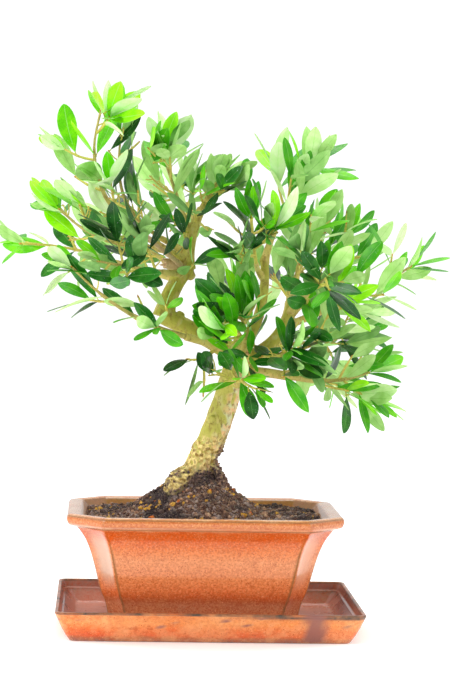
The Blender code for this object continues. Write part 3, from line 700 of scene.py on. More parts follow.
limbTable = {
    "trunk": Limb(None, 0, (0, 65), (0, 77), 0.1125, (0.0118, 0.0092)),
    "limb_low": Limb("trunk", 0.97, (180, 30), (172, 23), 0.065, (0.0068, 0.0062)),
    "limb_rise": Limb("limb_low", 0.96, (25, 80), (0, 47), 0.042, (0.0063, 0.0056)),
    "limb_crown": Limb("limb_rise", 0.95, (21, 90), (-10, 65), 0.0465, (0.0048, 0.0032)),
    "limb_middle": Limb("trunk", 0.97, (-13, 55), (-25, 97), 0.0755, (0.0046, 0.003)),
    "limb_right": Limb("trunk", 0.93, (-2, 14), (18, 83), 0.0655, (0.0056, 0.0038)),
    "bough_low_right": Limb("trunk", 0.86, (-13, 5), (-11, -12), 0.044, (0.0042, 0.0032)),
    "bough_crest": Limb("limb_crown", 0.06, (-179, 38), (-166, 26), 0.0375, (0.003, 0.0023)),
    "bough_left_spray": Limb("limb_crown", 0.1, (-134, 31), (-175, 1), 0.038, (0.0029, 0.0022)),
    "bough_far_left": Limb("limb_rise", 0.7, (147, 10), (186, 19), 0.051, (0.0024, 0.0016)),
    "limb_stub": Limb("limb_rise", 0.95, (-164, 21), (-176, 3), 0.018, (0.004, 0.0034)),
    "twig_dry": Limb("limb_rise", 0.93, (-109, 16), (-174, 45), 0.0495, (0.0022, 0.0014)),
    "bough_left_middle": Limb("limb_crown", 0.22, (160, 33), (179, 27), 0.0245, (0.0028, 0.0022)),
    "bough_left_front": Limb("limb_rise", 0.84, (-111, 0), (-136, 5), 0.03, (0.0028, 0.0022)),
    "bough_low_left": Limb("limb_low", 0.14, (-142, 16), (-155, 13), 0.0395, (0.0034, 0.0028)),
    "bough_top_left": Limb("limb_crown", 0.42, (167, 82), (177, 69), 0.021, (0.0026, 0.0021)),
    "bough_back_left": Limb("limb_rise", 0.7, (95, 28), (130, 24), 0.0325, (0.0029, 0.0022)),
    "bough_back_top": Limb("limb_crown", 0.55, (79, 43), (93, 17), 0.029, (0.0026, 0.002)),
    "bough_right_top": Limb("limb_middle", 0.97, (52, 72), (19, 64), 0.0245, (0.0029, 0.0022)),
    "bough_right_inner": Limb("limb_middle", 0.8, (-142, 34), (-108, 57), 0.0175, (0.0024, 0.0019)),
    "bough_right_upper": Limb("limb_right", 0.76, (37, 39), (26, 51), 0.0405, (0.0028, 0.0021)),
    "bough_far_right": Limb("limb_right", 0.66, (5, 26), (-6, 22), 0.035, (0.003, 0.0024)),
    "bough_right_front": Limb("limb_right", 0.84, (-83, 31), (-67, 21), 0.0285, (0.0026, 0.0021)),
    "bough_upright": Limb("bough_low_right", 0.8, (-21, 14), (-35, 63), 0.031, (0.0022, 0.0018)),
    "bough_rosette": Limb("trunk", 0.8, (-78, 8), (-93, -2), 0.0325, (0.0026, 0.0019)),
    "bough_front_centre": Limb("trunk", 0.94, (-64, 38), (-93, 37), 0.0295, (0.0029, 0.0022)),
    "bough_middle_low": Limb("limb_right", 0.3, (-54, 4), (-77, -8), 0.025, (0.0026, 0.0021)),
    "bough_under_left": Limb("limb_low", 0.3, (-81, -33), (-158, -29), 0.018, (0.0019, 0.0015)),
    "bough_back_right": Limb("limb_right", 0.55, (57, 48), (87, 25), 0.041, (0.0029, 0.0022)),
    "bough_back_low": Limb("limb_right", 0.25, (58, 15), (54, 0), 0.0395, (0.0028, 0.0022)),
    "bough_back_centre": Limb("trunk", 0.96, (90, 53), (90, 19), 0.0355, (0.0028, 0.0022)),
}

massTable = {
    "mass_crest": Mass("bough_crest", (-149, 111), 0.107, 5, 0.031, 699),
    "mass_left_spray": Mass("bough_left_spray", (-184, 45), 0.069, 5, 0.028, 972),
    "mass_far_left": Mass("bough_far_left", (216, -1), 0.075, 3, 0.027, 483),
    "mass_left_middle": Mass("bough_left_middle", (257, 109), 0.09, 4, 0.028, 295),
    "mass_left_front": Mass("bough_left_front", (-146, 9), 0.059, 5, 0.031, 143),
    "mass_low_left": Mass("bough_low_left", (-169, 46), 0.101, 4, 0.03, 389),
    "mass_top_left": Mass("bough_top_left", (232, 68), 0.051, 5, 0.031, 56),
    "mass_crown": Mass("limb_crown", (-51, 50), 0.022, 5, 0.027, 109),
    "mass_back_left": Mass("bough_back_left", (107, 18), 0.076, 5, 0.031, 648),
    "mass_back_top": Mass("bough_back_top", (131, 16), 0.051, 7, 0.032, 234),
    "mass_right_top": Mass("bough_right_top", (-15, 79), 0.056, 5, 0.031, 979),
    "mass_right_inner": Mass("bough_right_inner", (-110, 74), 0.035, 5, 0.029, 156),
    "mass_right_middle": Mass("limb_right", (-28, 67), 0.061, 6, 0.031, 810),
    "mass_right_upper": Mass("bough_right_upper", (-20, 64), 0.042, 5, 0.03, 494),
    "mass_far_right": Mass("bough_far_right", (-30, 34), 0.07, 5, 0.03, 285),
    "mass_right_front": Mass("bough_right_front", (-82, 15), 0.057, 5, 0.031, 771),
    "mass_upright": Mass("bough_upright", (-53, 59), 0.045, 5, 0.03, 400),
    "mass_low_right": Mass("bough_low_right", (10, 21), 0.056, 6, 0.031, 54),
    "mass_rosette": Mass("bough_rosette", (-75, 19), 0.018, 3, 0.029, 174),
    "mass_front_centre": Mass("bough_front_centre", (-115, 36), 0.026, 6, 0.032, 622),
    "mass_middle_low": Mass("bough_middle_low", (-78, 25), 0.034, 6, 0.031, 327),
    "mass_under_left": Mass("bough_under_left", (-153, 12), 0.015, 2, 0.03, 324),
    "mass_back_right": Mass("bough_back_right", (47, 24), 0.082, 6, 0.032, 728),
    "mass_back_low": Mass("bough_back_low", (13, 12), 0.078, 5, 0.031, 887),
    "mass_back_centre": Mass("bough_back_centre", (80, 62), 0.056, 4, 0.031, 660),
}

growth = {
    "seatGap": 0.00035,
    "trunkFoot": (-0.0155, 0.0, 0.0980),
    "trunkSteps": 9, "limbSteps": 6, "boughSteps": 4, "stemSteps": 4, "shootSteps": 2,
    "goldenAngle": 137.5,
    "spaceGap": 0.0024,
    "leafSpacing": 0.0045,
    "limbClearance": 0.0007,
    "leafTries": 4, "shootTries": 3, "shootPairs": 2, "stemPairs": 3,
    "leafRoot": 0.00015,
    "leafWidth": 0.40,
    "leafOutline": ((0.33, 0.36), (0.70, 0.47)),
}


def bentRun(start, first, last, length, steps):
    points = [start]
    for i in range(steps):
        share = (i + 0.5) / steps
        azimuth = first[0] + (last[0] - first[0]) * share
        rise = first[1] + (last[1] - first[1]) * share
        points.append(points[-1] + heading(azimuth, rise) * (length / steps))
    return points


def pointAt(points, share):
    place = min(max(share, 0.0), 1.0) * (len(points) - 1)
    i = min(int(place), len(points) - 2)
    return points[i].lerp(points[i + 1], place - i)


def directionAt(points, share):
    i = min(int(min(max(share, 0.0), 1.0) * (len(points) - 1)), len(points) - 2)
    return (points[i + 1] - points[i]).normalized()


def distanceToRun(point, points):
    nearest = 1.0
    for a, b in zip(points, points[1:]):
        span = b - a
        share = min(max((point - a).dot(span) / span.dot(span), 0.0), 1.0)
        nearest = min(nearest, (point - a - span * share).length)
    return nearest


def across(aim, turn):
    level = Vector((0, 0, 1)) if abs(aim.z) < 0.97 else Vector((1, 0, 0))
    side = aim.cross(level).normalized()
    lift = side.cross(aim)
    return lift * math.cos(turn) + side * math.sin(turn)


def halfWidth(share):
    (low, lowWidth), (high, highWidth) = growth["leafOutline"]
    if share < low:
        return lowWidth * share / low
    if share < high:
        return lowWidth + (highWidth - lowWidth) * (share - low) / (high - low)
    return highWidth * (1.0 - share) / (1.0 - high)


def bladePoint(leaf, share, side):
    sideways = leaf.aim.cross(leaf.face) * (side * halfWidth(share) * growth["leafWidth"] * leaf.length)
    return leaf.base + leaf.aim * (leaf.length * share) + sideways


def inOwnSpace(point, stem, others):
    near = distanceToRun(point, stem)
    return all(distanceToRun(point, other) - near > growth["spaceGap"] for other in others)


def bladeIsClear(leaf, stem, others, limbs):
    spots = ((0.35, 0), (0.7, 0), (1.0, 0), (0.33, 1), (0.33, -1), (0.7, 1), (0.7, -1))
    if not all(inOwnSpace(bladePoint(leaf, share, side), stem, others) for share, side in spots):
        return False
    middle = bladePoint(leaf, 0.5, 0)
    for run, radius in limbs:
        if distanceToRun(middle, run) > leaf.length * 0.52 + radius:
            continue
        for i in range(9):
            for side in (-1, -0.5, 0, 0.5, 1):
                spot = bladePoint(leaf, (i + 1) / 9, side)
                if distanceToRun(spot, run) < radius + growth["limbClearance"]:
                    return False
    return True


def clearOfLeaves(leaf, grown, spacing):
    spots = [bladePoint(leaf, share, 0) for share in (0.35, 0.6, 0.85, 1.0)]
    for older in grown:
        spine = (bladePoint(older, 0.3, 0), bladePoint(older, 1.0, 0))
        if any(distanceToRun(spot, spine) < spacing for spot in spots):
            return False
    return True


def runIsClear(points, stem, others, limbs):
    clearance = growth["limbClearance"]
    for i in range(1, 9):
        point = pointAt(points, i / 8)
        if not inOwnSpace(point, stem, others):
            return False
        if any(distanceToRun(point, run) < radius + clearance + 0.001 for run, radius in limbs):
            return False
    return True


def addLeaves(rng, leaves, points, pairs, firstShare, firstTurn, size, space, spray):
    # opposite pairs, each a quarter turn from the last
    for k in range(pairs):
        young = (k + 1) / pairs
        share = firstShare + (0.97 - firstShare) * young
        node = pointAt(points, share)
        axis = directionAt(points, share)
        turn = firstTurn + math.radians(90 * k) + rng.uniform(-0.3, 0.3)
        for side in (0, math.pi):
            length = size * rng.uniform(0.82, 1.16) * (1.06 - 0.2 * young)
            for attempt in range(growth["leafTries"]):
                out = across(axis, turn + side + rng.uniform(-0.25, 0.25) * (1 + attempt))
                opening = math.radians(66 - 34 * young) * rng.uniform(0.8, 1.25)
                aim = (axis * math.cos(opening) + out * math.sin(opening)).normalized()
                face = axis * 0.7 + Vector((0, 0, 0.6)) + across(axis, rng.uniform(0, 6.28)) * 0.45
                face = (face - aim * face.dot(aim)).normalized()
                leaf = Leaf(node - aim * growth["leafRoot"], aim, face, length, young, spray)
                if clearOfLeaves(leaf, leaves, growth["leafSpacing"]) and bladeIsClear(leaf, *space):
                    leaves.append(leaf)
                    break


def growMass(mass, space):
    # side shoots spread round the stem by the golden angle
    stem = space[0]
    rng = random.Random(mass.seed)
    firstTurn = rng.uniform(0, 6.28)
    shoots, leaves = [], []
    addLeaves(rng, leaves, stem, growth["stemPairs"], 0.12, firstTurn, mass.leaf, space, 0)
    for k in range(mass.shoots):
        share = 0.06 + 0.84 * (k + rng.uniform(0.1, 0.9)) / mass.shoots
        root = pointAt(stem, share)
        axis = directionAt(stem, share)
        turn = firstTurn + math.radians(growth["goldenAngle"] * k)
        reach = mass.leaf * rng.uniform(0.55, 1.05) * (1.15 - 0.45 * share)
        for attempt in range(growth["shootTries"]):
            out = across(axis, turn + rng.uniform(-0.4, 0.4) * (1 + attempt))
            opening = math.radians(rng.uniform(42, 70))
            first = (axis * math.cos(opening) + out * math.sin(opening)).normalized()
            points = [root]
            for i in range(growth["shootSteps"]):
                aim = (first + Vector((0, 0, 0.12)) * i + axis * 0.15 * i).normalized()
                points.append(points[-1] + aim * (reach / growth["shootSteps"]))
            if runIsClear(points[1:], *space):
                shoots.append(Shoot(points, (0.0011, 0.0007), k + 1))
                addLeaves(rng, leaves, points, growth["shootPairs"], 0.28, turn, mass.leaf, space, k + 1)
                break
    return shoots, leaves


# Finer twigs than the solids have, in about the same reach

finer = {
    "places": (0.12, 0.28, 0.44, 0.60, 0.76, 0.90),     # shares along a twig where a twiglet may grow
    "chance": 0.26,
    # how full a mass is, 1 for those not named
    "fullness": {
        "mass_far_left": 0.0, "mass_low_left": 0.4, "mass_low_right": 0.4, "mass_under_left": 0.3,
        "mass_crest": 1.2, "mass_right_front": 0.7, "mass_right_top": 0.4, "mass_far_right": 0.5,
        "mass_right_upper": 0.6, "mass_right_inner": 1.3, "mass_middle_low": 2.4,
        "mass_front_centre": 2.2, "mass_rosette": 2.4, "mass_left_middle": 1.8,
        "mass_left_front": 2.2, "mass_back_left": 1.2, "mass_crown": 1.3,
    },
    # how far past its solid's box a leaf may reach
    "slack": {
        "mass_middle_low": 0.010, "mass_front_centre": 0.010, "mass_rosette": 0.010,
        "mass_left_front": 0.012,
    },
    "usualSlack": 0.002,
    "tipBonus": 0.1,                # added to the fullness as the chance of a pair on a tip
    "length": (0.006, 0.012),
    "radii": (0.0006, 0.0004),
    "opening": (35, 65),            # degrees of a twiglet off the twig
    "leafOpening": 44, "tipOpening": 20,    # and of its leaves, and of those on a tip
    "leafSize": (0.90, 1.15),       # against the mass's mean leaf
    "tipSize": (0.70, 1.10),
    "youth": (0.15, 1.25),          # of a twiglet's leaves and of a tip's
    "spacing": 0.0022,
    "twigSpacing": 0.0030,
    "seedShift": 5000,
}

spurs = {
    # short leafy shoots from a limb's bark: mass that they count to, limb, share, heading, length
    "places": (
        ("mass_left_front", "limb_crown", 0.12, (-128, 12), 0.021),
        ("mass_left_front", "limb_crown", 0.36, (-108, 24), 0.018),
        ("mass_left_front", "limb_rise", 0.96, (-78, 4), 0.017),
        ("mass_left_middle", "limb_crown", 0.56, (-146, 18), 0.018),
        ("mass_left_middle", "limb_crown", 0.74, (-92, 20), 0.014),
        ("mass_low_left", "limb_low", 0.90, (-104, 40), 0.015),
        ("mass_middle_low", "limb_right", 0.10, (-84, 2), 0.021),
        ("mass_middle_low", "limb_right", 0.26, (-108, 22), 0.019),
        ("mass_middle_low", "limb_middle", 0.16, (-92, 30), 0.019),
        ("mass_front_centre", "limb_low", 0.08, (-98, -6), 0.020),
        ("mass_middle_low", "trunk", 0.93, (-70, -8), 0.022),
    ),
    "radii": (0.0011, 0.0007),
    "pairs": 2,
    "leafSize": 0.9,                # against the mass's mean leaf
    "firstLeaves": 0.55,            # share of the shoot below its leaves
    "lift": 0.15,                   # how much its tip turns up
    "firstSpray": 100,              # their sprays are numbered from here on
    "seedShift": 7000,
}


def finerLeaf(rng, leaves, seat, build, space, box):
    # seat: leaf node, twig's direction, turn round it and opening; build: length, youth and spray
    node, axis, turn, opening = seat
    length, youth, spray = build
    for attempt in range(growth["leafTries"]):
        out = across(axis, turn + rng.uniform(-0.3, 0.3) * (1 + attempt))
        angle = math.radians(opening * rng.uniform(0.8, 1.2))
        aim = (axis * math.cos(angle) + out * math.sin(angle)).normalized()
        face = axis * 0.9 + Vector((0, 0, 0.5)) + across(axis, rng.uniform(0, 6.28)) * 0.4
        face = (face - aim * face.dot(aim)).normalized()
        leaf = Leaf(node - aim * growth["leafRoot"], aim, face, length, youth, spray)
        tip = leaf.base + aim * length
        inside = all(low < value < high for low, value, high in zip(box[0], tip, box[1]))
        if inside and clearOfLeaves(leaf, leaves, finer["spacing"]) and bladeIsClear(leaf, *space):
            leaves.append(leaf)
            return


def growFiner(name, mass, shoots, leaves, space):
    rng = random.Random(mass.seed + finer["seedShift"])
    inner, outer = finer["youth"]
    fullness = finer["fullness"].get(name, 1.0)
    slack = finer["slack"].get(name, finer["usualSlack"])
    low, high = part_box(name)
    box = [[value - slack for value in low], [value + slack for value in high]]
    runs = [(space[0], 0)] + [(shoot.points, shoot.spray) for shoot in shoots]
    twiglets = []
    for run, spray in runs:
        for share in finer["places"]:
            turn = rng.uniform(0, 6.28)
            if rng.random() > finer["chance"] * fullness:
                continue
            root = pointAt(run, share)
            axis = directionAt(run, share)
            angle = math.radians(rng.uniform(*finer["opening"]))
            aim = axis * math.cos(angle) + across(axis, turn) * math.sin(angle)
            aim = (aim + Vector((0, 0, 0.1))).normalized()
            reach = rng.uniform(*finer["length"])
            tip = root + (aim + axis * 0.2).normalized() * reach
            points = [root, root + aim * reach * 0.5, tip]
            spines = ((leaf.base, bladePoint(leaf, 1, 0)) for leaf in leaves)
            crowded = any(distanceToRun(tip, spine) < finer["twigSpacing"] for spine in spines)
            if crowded or not runIsClear(points[1:], *space):
                continue
            twiglets.append(Shoot(points, finer["radii"], spray))
            for side in (0, math.pi):
                size = mass.leaf * rng.uniform(*finer["leafSize"])
                youth = inner + 0.5 * share * rng.random()
                finerLeaf(rng, leaves, (tip, axis, turn + side, finer["leafOpening"]),
                          (size, youth, spray), space, box)
    for run, spray in runs:
        turn = rng.uniform(0, 6.28)
        if rng.random() > fullness + finer["tipBonus"]:
            continue
        for side in (0, math.pi):
            size = mass.leaf * rng.uniform(*finer["tipSize"])
            finerLeaf(rng, leaves, (run[-1], directionAt(run, 1), turn + side, finer["tipOpening"]),
                      (size, outer, spray), space, box)
    return twiglets


def growSpurs():
    standing = [leaf for _, _, leaves in grown.values() for leaf in leaves]
    for index, (name, limb, share, course, reach) in enumerate(spurs["places"]):
        rng = random.Random(massTable[name].seed + spurs["seedShift"] + index)
        root = pointAt(runs[limb], share)
        aim = heading(*course)
        tipAim = (aim + Vector((0, 0, spurs["lift"]))).normalized()
        points = [root, root + aim * reach * 0.5, root + tipAim * reach]
        spray = spurs["firstSpray"] + index
        before = len(standing)
        space = (points, [], limbSpace)
        size = massTable[name].leaf * spurs["leafSize"]
        turn = rng.uniform(0, 6.28)
        addLeaves(rng, standing, points, spurs["pairs"], spurs["firstLeaves"], turn, size, space, spray)
        grown[name][1].append(Shoot(points, spurs["radii"], spray))
        grown[name][2].extend(standing[before:])
        print("spur on", limb, "with", len(standing) - before, "leaves")


def limbRuns():
    runs = {}
    for name, limb in limbTable.items():
        start = pointAt(runs[limb.parent], limb.at) if limb.parent else Vector(growth["trunkFoot"])
        kind = name.split("_")[0]
        steps = growth[kind + "Steps"] if kind in ("trunk", "limb") else growth["boughSteps"]
        runs[name] = bentRun(start, limb.first, limb.last, limb.length, steps)
    return runs


def stemRun(mass, runs):
    limbRun = runs[mass.limb]
    start = limbRun[-1] + (limbRun[-1] - limbRun[-2]).normalized() * growth["seatGap"]
    return bentRun(start, limbTable[mass.limb].last, mass.last, mass.length, growth["stemSteps"])


runs = limbRuns()
stems = {name: stemRun(mass, runs) for name, mass in massTable.items()}
limbSpace = [(run, max(limbTable[name].radii)) for name, run in runs.items()]
grown = {}
for name, mass in massTable.items():
    space = (stems[name], [other for key, other in stems.items() if key != name], limbSpace)
    shoots, leaves = growMass(mass, space)
    inSolid = len(leaves)
    twiglets = growFiner(name, mass, shoots, leaves, space)
    grown[name] = (shoots, twiglets, leaves)
    print(name, len(shoots), "shoots", inSolid, "leaves as in the solid,",
          len(leaves) - inSolid, "finer,", len(twiglets), "twiglets")
growSpurs()
print("grown:", sum(len(g[2]) for g in grown.values()), "leaves")


# Trunk and limbs: tubes joined by a voxel remesh, then the bark's relief

wood = {
    "voxel": 0.00062,
    "trunkSides": 36,
    "limbSides": 16,
    "collar": 0.40,                 # swelling where a limb leaves its parent
    "flare": (0.0052, 0.0105, 3),   # root flare: radius, how fast it fades, lobes
    "ridgeFoot": 0.30,              # share along the trunk where the surface roots start
    "ridges": (                     # surface roots: azimuth, rise at start and end, length, radii
        ((200, -42), (222, -66), 0.040, (0.0066, 0.0036)),
        ((-28, -48), (-40, -66), 0.032, (0.0060, 0.0034)),
        ((95, -50), (80, -64), 0.030, (0.0060, 0.0034)),
    ),
    "scars": (                      # old cuts: limb, share along it, turn, radius
        ("trunk", 0.52, 60, 0.0034), ("trunk", 0.80, 115, 0.0040), ("trunk", 0.70, 250, 0.0030),
        ("limb_low", 0.45, 330, 0.0030), ("limb_low", 0.80, 20, 0.0034),
        ("limb_rise", 0.90, 200, 0.0036), ("limb_crown", 0.30, 60, 0.0022),
        ("limb_middle", 0.45, 130, 0.0024), ("limb_right", 0.40, 200, 0.0026),
    ),
    "scarShape": ((0, 1.5), (0.7, 1.1), (1, 0.8)),      # share of its height, part of its radius
    "green": ("limb_middle", "limb_rise", "limb_low", "limb_right"),        # smoother and greener
    # how closely each kind of noise is set, per metre
    "noise": {"broad": 95, "middle": 330, "fine": 900, "scaly": 210, "lumps": 420},
    # heights out of the bark, in metres; two values are for smooth bark and added on rough bark
    "broad": 0.00075, "middle": (0.00008, 0.00034), "fine": (0.00006, 0.00010),
    "flake": 0.00045, "pit": 0.0005, "knob": 0.0022,
    "shoulder": 0.0056,             # the root's shoulder on the left
    "tuck": 0.0024,                 # the flank drawn in on the right
    # levels on the trunk and how far each takes to fade
    "knobLevel": (0.1455, 0.008), "shoulderLevel": (0.121, 0.010), "tuckLevel": (0.121, 0.019),
    # soil on the bark: its line, how far the line moves by side, clouds and lumps, and its edge
    "soilLine": (0.1165, 0.020, 0.006, 0.008, 0.002),
    # a darker flank on the right, soil on the bark with painted shade: place on the right, level, strength;
    # loose dirt: chance, level, strength
    "flankSoilAndShade": ((0.0062, 0.0015), (0.150, 0.020), 0.60),
    "dirt": ((0.20, 0.22), (0.122, 0.008), 0.80),
}

woodenNames = [name for name in limbTable if name not in ("limb_stub", "twig_dry")]


def framesAlong(points):
    # at each point its own direction, and two spokes across it that don't twist along the run
    spoke = None
    last = len(points) - 1
    for i, point in enumerate(points):
        aim = (points[min(i + 1, last)] - points[max(i - 1, 0)]).normalized()
        spoke = across(aim, 0.0) if spoke is None else (spoke - aim * spoke.dot(aim)).normalized()
        yield point, aim, spoke, aim.cross(spoke)


def tubeInto(pile, points, radii, sides, slot=0):
    # closed tube: one radius for each point
    turns = [2 * math.pi * k / sides for k in range(sides)]
    rings = []
    for radius, (point, _, spoke, side) in zip(radii, framesAlong(points)):
        rings.append([point + (spoke * math.cos(t) + side * math.sin(t)) * radius for t in turns])
    loftInto(pile, rings, slot)


def smoothRun(points, steps):
    return [Vector(p) for p in smoothThrough(points, steps)]


def trunkTube(pile):
    points = smoothRun(runs["trunk"], 5)
    length = limbTable["trunk"].length
    wide, slim = limbTable["trunk"].radii
    flare, fade, lobes = wood["flare"]
    sides = wood["trunkSides"]
    rings = []
    for point, _, spoke, side in framesAlong(points):
        away = (point - points[0]).length
        ring = []
        for k in range(sides):
            turn = 2 * math.pi * k / sides
            lobe = 0.62 + 0.38 * math.cos(lobes * (turn - math.pi))
            radius = wide + (slim - wide) * min(away / length * 1.5, 1.0)
            radius += flare * math.exp(-away / fade) * lobe
            ring.append(point + (spoke * math.cos(turn) + side * math.sin(turn)) * radius)
        rings.append(ring)
    for place in rings[0]:
        place.z = points[0].z
    loftInto(pile, rings)


def limbTube(pile, name):
    limb = limbTable[name]
    points = smoothRun(runs[name], 4)
    first, last = limb.radii
    radii, away = [], 0.0
    for i, point in enumerate(points):
        away += (point - points[i - 1]).length if i else 0.0
        share = i / (len(points) - 1)
        collar = wood["collar"] * first * math.exp(-away / (first * 1.4))
        radii.append(first + (last - first) * share + collar)
    tubeInto(pile, points, radii, wood["limbSides"])


def buildWood():
    pile = MeshBin()
    trunkTube(pile)
    for name in woodenNames:
        if name != "trunk":
            limbTube(pile, name)
    foot = pointAt(runs["trunk"], wood["ridgeFoot"])
    for first, last, length, (big, small) in wood["ridges"]:
        points = smoothRun(bentRun(foot, first, last, length, 5), 3)
        radii = [big + (small - big) * i / (len(points) - 1) for i in range(len(points))]
        tubeInto(pile, points, radii, 14)
    for name, share, turn, radius in wood["scars"]:
        axis = directionAt(runs[name], share)
        out = across(axis, math.radians(turn))
        start = pointAt(runs[name], share)
        reach = max(limbTable[name].radii) + radius * 0.55
        points = [start + out * reach * along for along, _ in wood["scarShape"]]
        tubeInto(pile, points, [radius * part for _, part in wood["scarShape"]], 12)
    rough = makePiece("wood_draft", pile, [])
    remesh = rough.modifiers.new("skin", "REMESH")
    remesh.mode = "VOXEL"
    remesh.voxel_size = wood["voxel"]
    relax = rough.modifiers.new("relax", "SMOOTH")
    relax.factor = 0.5
    relax.iterations = 4
    bpy.context.view_layer.update()
    mesh = bpy.data.meshes.new_from_object(rough.evaluated_get(bpy.context.evaluated_depsgraph_get()))
    bpy.data.objects.remove(rough)
    mesh.name = "bark_skin"
    return mesh


def nearestLimb(places):
    # for each place: its limb's number, the limb's radius there, and how far right of its axis it is
    count = len(places)
    nearest = np.full(count, 1.0)
    girth = np.zeros(count)
    owner = np.zeros(count, dtype=np.int32)
    axisX = np.zeros(count)
    for index, (name, run) in enumerate(runs.items()):
        first, last = limbTable[name].radii
        for k, (a, b) in enumerate(zip(run, run[1:])):
            start, span = np.array(a), np.array(b - a)
            share = np.clip((places - start) @ span / (span @ span), 0, 1)
            foot = start + share[:, None] * span
            radius = first + (last - first) * (k + share) / (len(run) - 1)
            away = np.linalg.norm(places - foot, axis=1) - radius
            closer = away < nearest
            nearest = np.where(closer, away, nearest)
            girth = np.where(closer, radius, girth)
            axisX = np.where(closer, (places - foot)[:, 0], axisX)
            owner = np.where(closer, index, owner)
    return owner, girth, axisX


def barkRelief(mesh):
    # moves every point along its normal, and keeps masks of what grew there for the material
    count = len(mesh.vertices)
    places = np.zeros(count * 3)
    normals = np.zeros(count * 3)
    mesh.vertices.foreach_get("co", places)
    mesh.vertex_normals.foreach_get("vector", normals)
    places = places.reshape(-1, 3)
    normals = normals.reshape(-1, 3)
    owner, girth, axisX = nearestLimb(places)
    thick = np.clip((girth - 0.002) / 0.007, 0, 1)          # 0 on boughs, 1 on the trunk
    isTrunk = (owner == 0).astype(float)
    green = np.isin(owner, [list(runs).index(name) for name in wood["green"]]).astype(float)
    heights = places[:, 2]
    rightSide = np.clip(axisX / 0.008 + 0.40, 0, 1)
    leftSide = np.clip(-axisX / 0.006 - 0.3, 0, 1)
    shift = np.zeros(count)
    flake, knob, pit, clouds, lumpy = (np.zeros(count) for _ in range(5))
    closeness = wood["noise"]
    knobLevel, knobFade = wood["knobLevel"]
    tuckLevel, tuckFade = wood["tuckLevel"]
    shoulderLevel, shoulderFade = wood["shoulderLevel"]
    middleSmooth, middleRough = wood["middle"]
    fineSmooth, fineRough = wood["fine"]
    for i in range(count):
        p = Vector(places[i])
        broad = noise.noise(p * closeness["broad"])
        middle = noise.noise(Vector((p.x, p.y, p.z * 0.45)) * closeness["middle"])
        fine = noise.noise(p * closeness["fine"])
        scaly = noise.noise(Vector((p.x, p.y, p.z * 0.6)) * closeness["scaly"] + Vector((7, 3, 1)))
        lumps = noise.noise(p * closeness["lumps"] + Vector((2, 9, 4)))
        clouds[i] = broad
        lumpy[i] = lumps
        rough = isTrunk[i] * max(rightSide[i], 0.15) + 0.18 * (1 - isTrunk[i]) * (1 - 0.7 * green[i])
        low = isTrunk[i] * climb(knobLevel - heights[i] + 0.006 * broad, 0, knobFade)
        tuck = isTrunk[i] * hump(heights[i], tuckLevel, tuckFade) * climb(axisX[i], 0.003, 0.006)
        shoulder = isTrunk[i] * climb(shoulderLevel + 0.002 * broad - heights[i], 0, shoulderFade)
        shoulder *= leftSide[i]
        knob[i] = low * climb(lumps, -0.30, 0.3)
        flake[i] = climb(scaly + 0.55 * rightSide[i] * isTrunk[i], 0.22, 0.12) * max(rough, 0.25)
        pit[i] = climb(lumps, 0.40, 0.08) * max(rough, 0.8 * low)
        shift[i] = (
            broad * wood["broad"] * thick[i] * (1 - 0.6 * green[i])
            + middle * (middleSmooth + middleRough * thick[i] * rough)
            + fine * (fineSmooth + fineRough * rough)
            + flake[i] * wood["flake"] * thick[i]
            - pit[i] * wood["pit"] * thick[i]
            + max(0, lumps) * wood["knob"] * low
            + wood["shoulder"] * shoulder
            - wood["tuck"] * tuck)
    places += normals * shift[:, None]
    floorLevel = growth["trunkFoot"][2]
    places[:, 2] = np.maximum(places[:, 2], floorLevel)
    mesh.vertices.foreach_set("co", places.ravel())
    mesh.update()
    level, bySide, byClouds, byLumps, edge = wood["soilLine"]
    soilLine = level - bySide * leftSide + clouds * byClouds + lumpy * byLumps
    soilBand = np.clip((soilLine - heights) / edge, 0, 1)
    # the right flank darkened: soil with painted shade
    (place, placeFade), (level, fade), strength = wood["flankSoilAndShade"]
    flankSoilAndShade = np.clip((axisX - place) / placeFade, 0, 1)
    flankSoilAndShade = flankSoilAndShade * np.clip((level - heights) / fade, 0, 1) * strength
    (chance, chanceFade), (level, fade), strength = wood["dirt"]
    dirt = np.clip((chance - lumpy - 0.5 * clouds) / chanceFade, 0, 1)
    dirt = dirt * np.clip((level - heights) / fade, 0, 1) * strength
    soilAndShade = np.maximum(np.maximum(soilBand, flankSoilAndShade), dirt) * isTrunk
    return {"thick": thick, "flake": flake, "knob": knob, "pit": pit, "green": green, "soilAndShade": soilAndShade}


def barkMaterial():
    material, tree, shader = newMaterial("bark", 0.78, specular=0.3)

    def clouded(first, second, size, contrast):
        return mottled(tree, paint(*first), paint(*second), size, contrast)["Color"]

    twiggy = clouded((184, 166, 84), (204, 190, 112), 0.006, 2.4)
    smooth = clouded((162, 158, 60), (190, 182, 96), 0.010, 2.2)
    leafy = clouded((138, 136, 40), (172, 168, 70), 0.012, 2.2)
    color = mixColors(tree, spread(tree, attributeValue(tree, "thick"), 0.12, 0.5), twiggy, smooth)
    color = mixColors(tree, times(tree, attributeValue(tree, "green"), 0.8), color, leafy)
    scaly = clouded((236, 176, 128), (206, 208, 166), 0.005, 4.0)
    color = mixColors(tree, times(tree, attributeValue(tree, "flake"), 0.9), color, scaly)
    knobs = clouded((240, 216, 142), (150, 120, 56), 0.0034, 5.0)
    color = mixColors(tree, attributeValue(tree, "knob"), color, knobs)
    grain = grained(tree, color, paint(120, 90, 46), 0.0024, 0.6)
    pits = times(tree, attributeValue(tree, "pit"), 0.75)
    color = mixColors(tree, pits, grain["Color"], paint(96, 70, 36))
    # soil on the bark, with painted shade down the right flank
    earthy = clouded((62, 46, 42), (132, 104, 92), 0.0020, 3.6)
    color = mixColors(tree, attributeValue(tree, "soilAndShade"), color, earthy)
    feed(tree, shader["Base Color"], color)
    addBump(tree, shader, grain["Height"], 0.0008, 0.8)
    return material


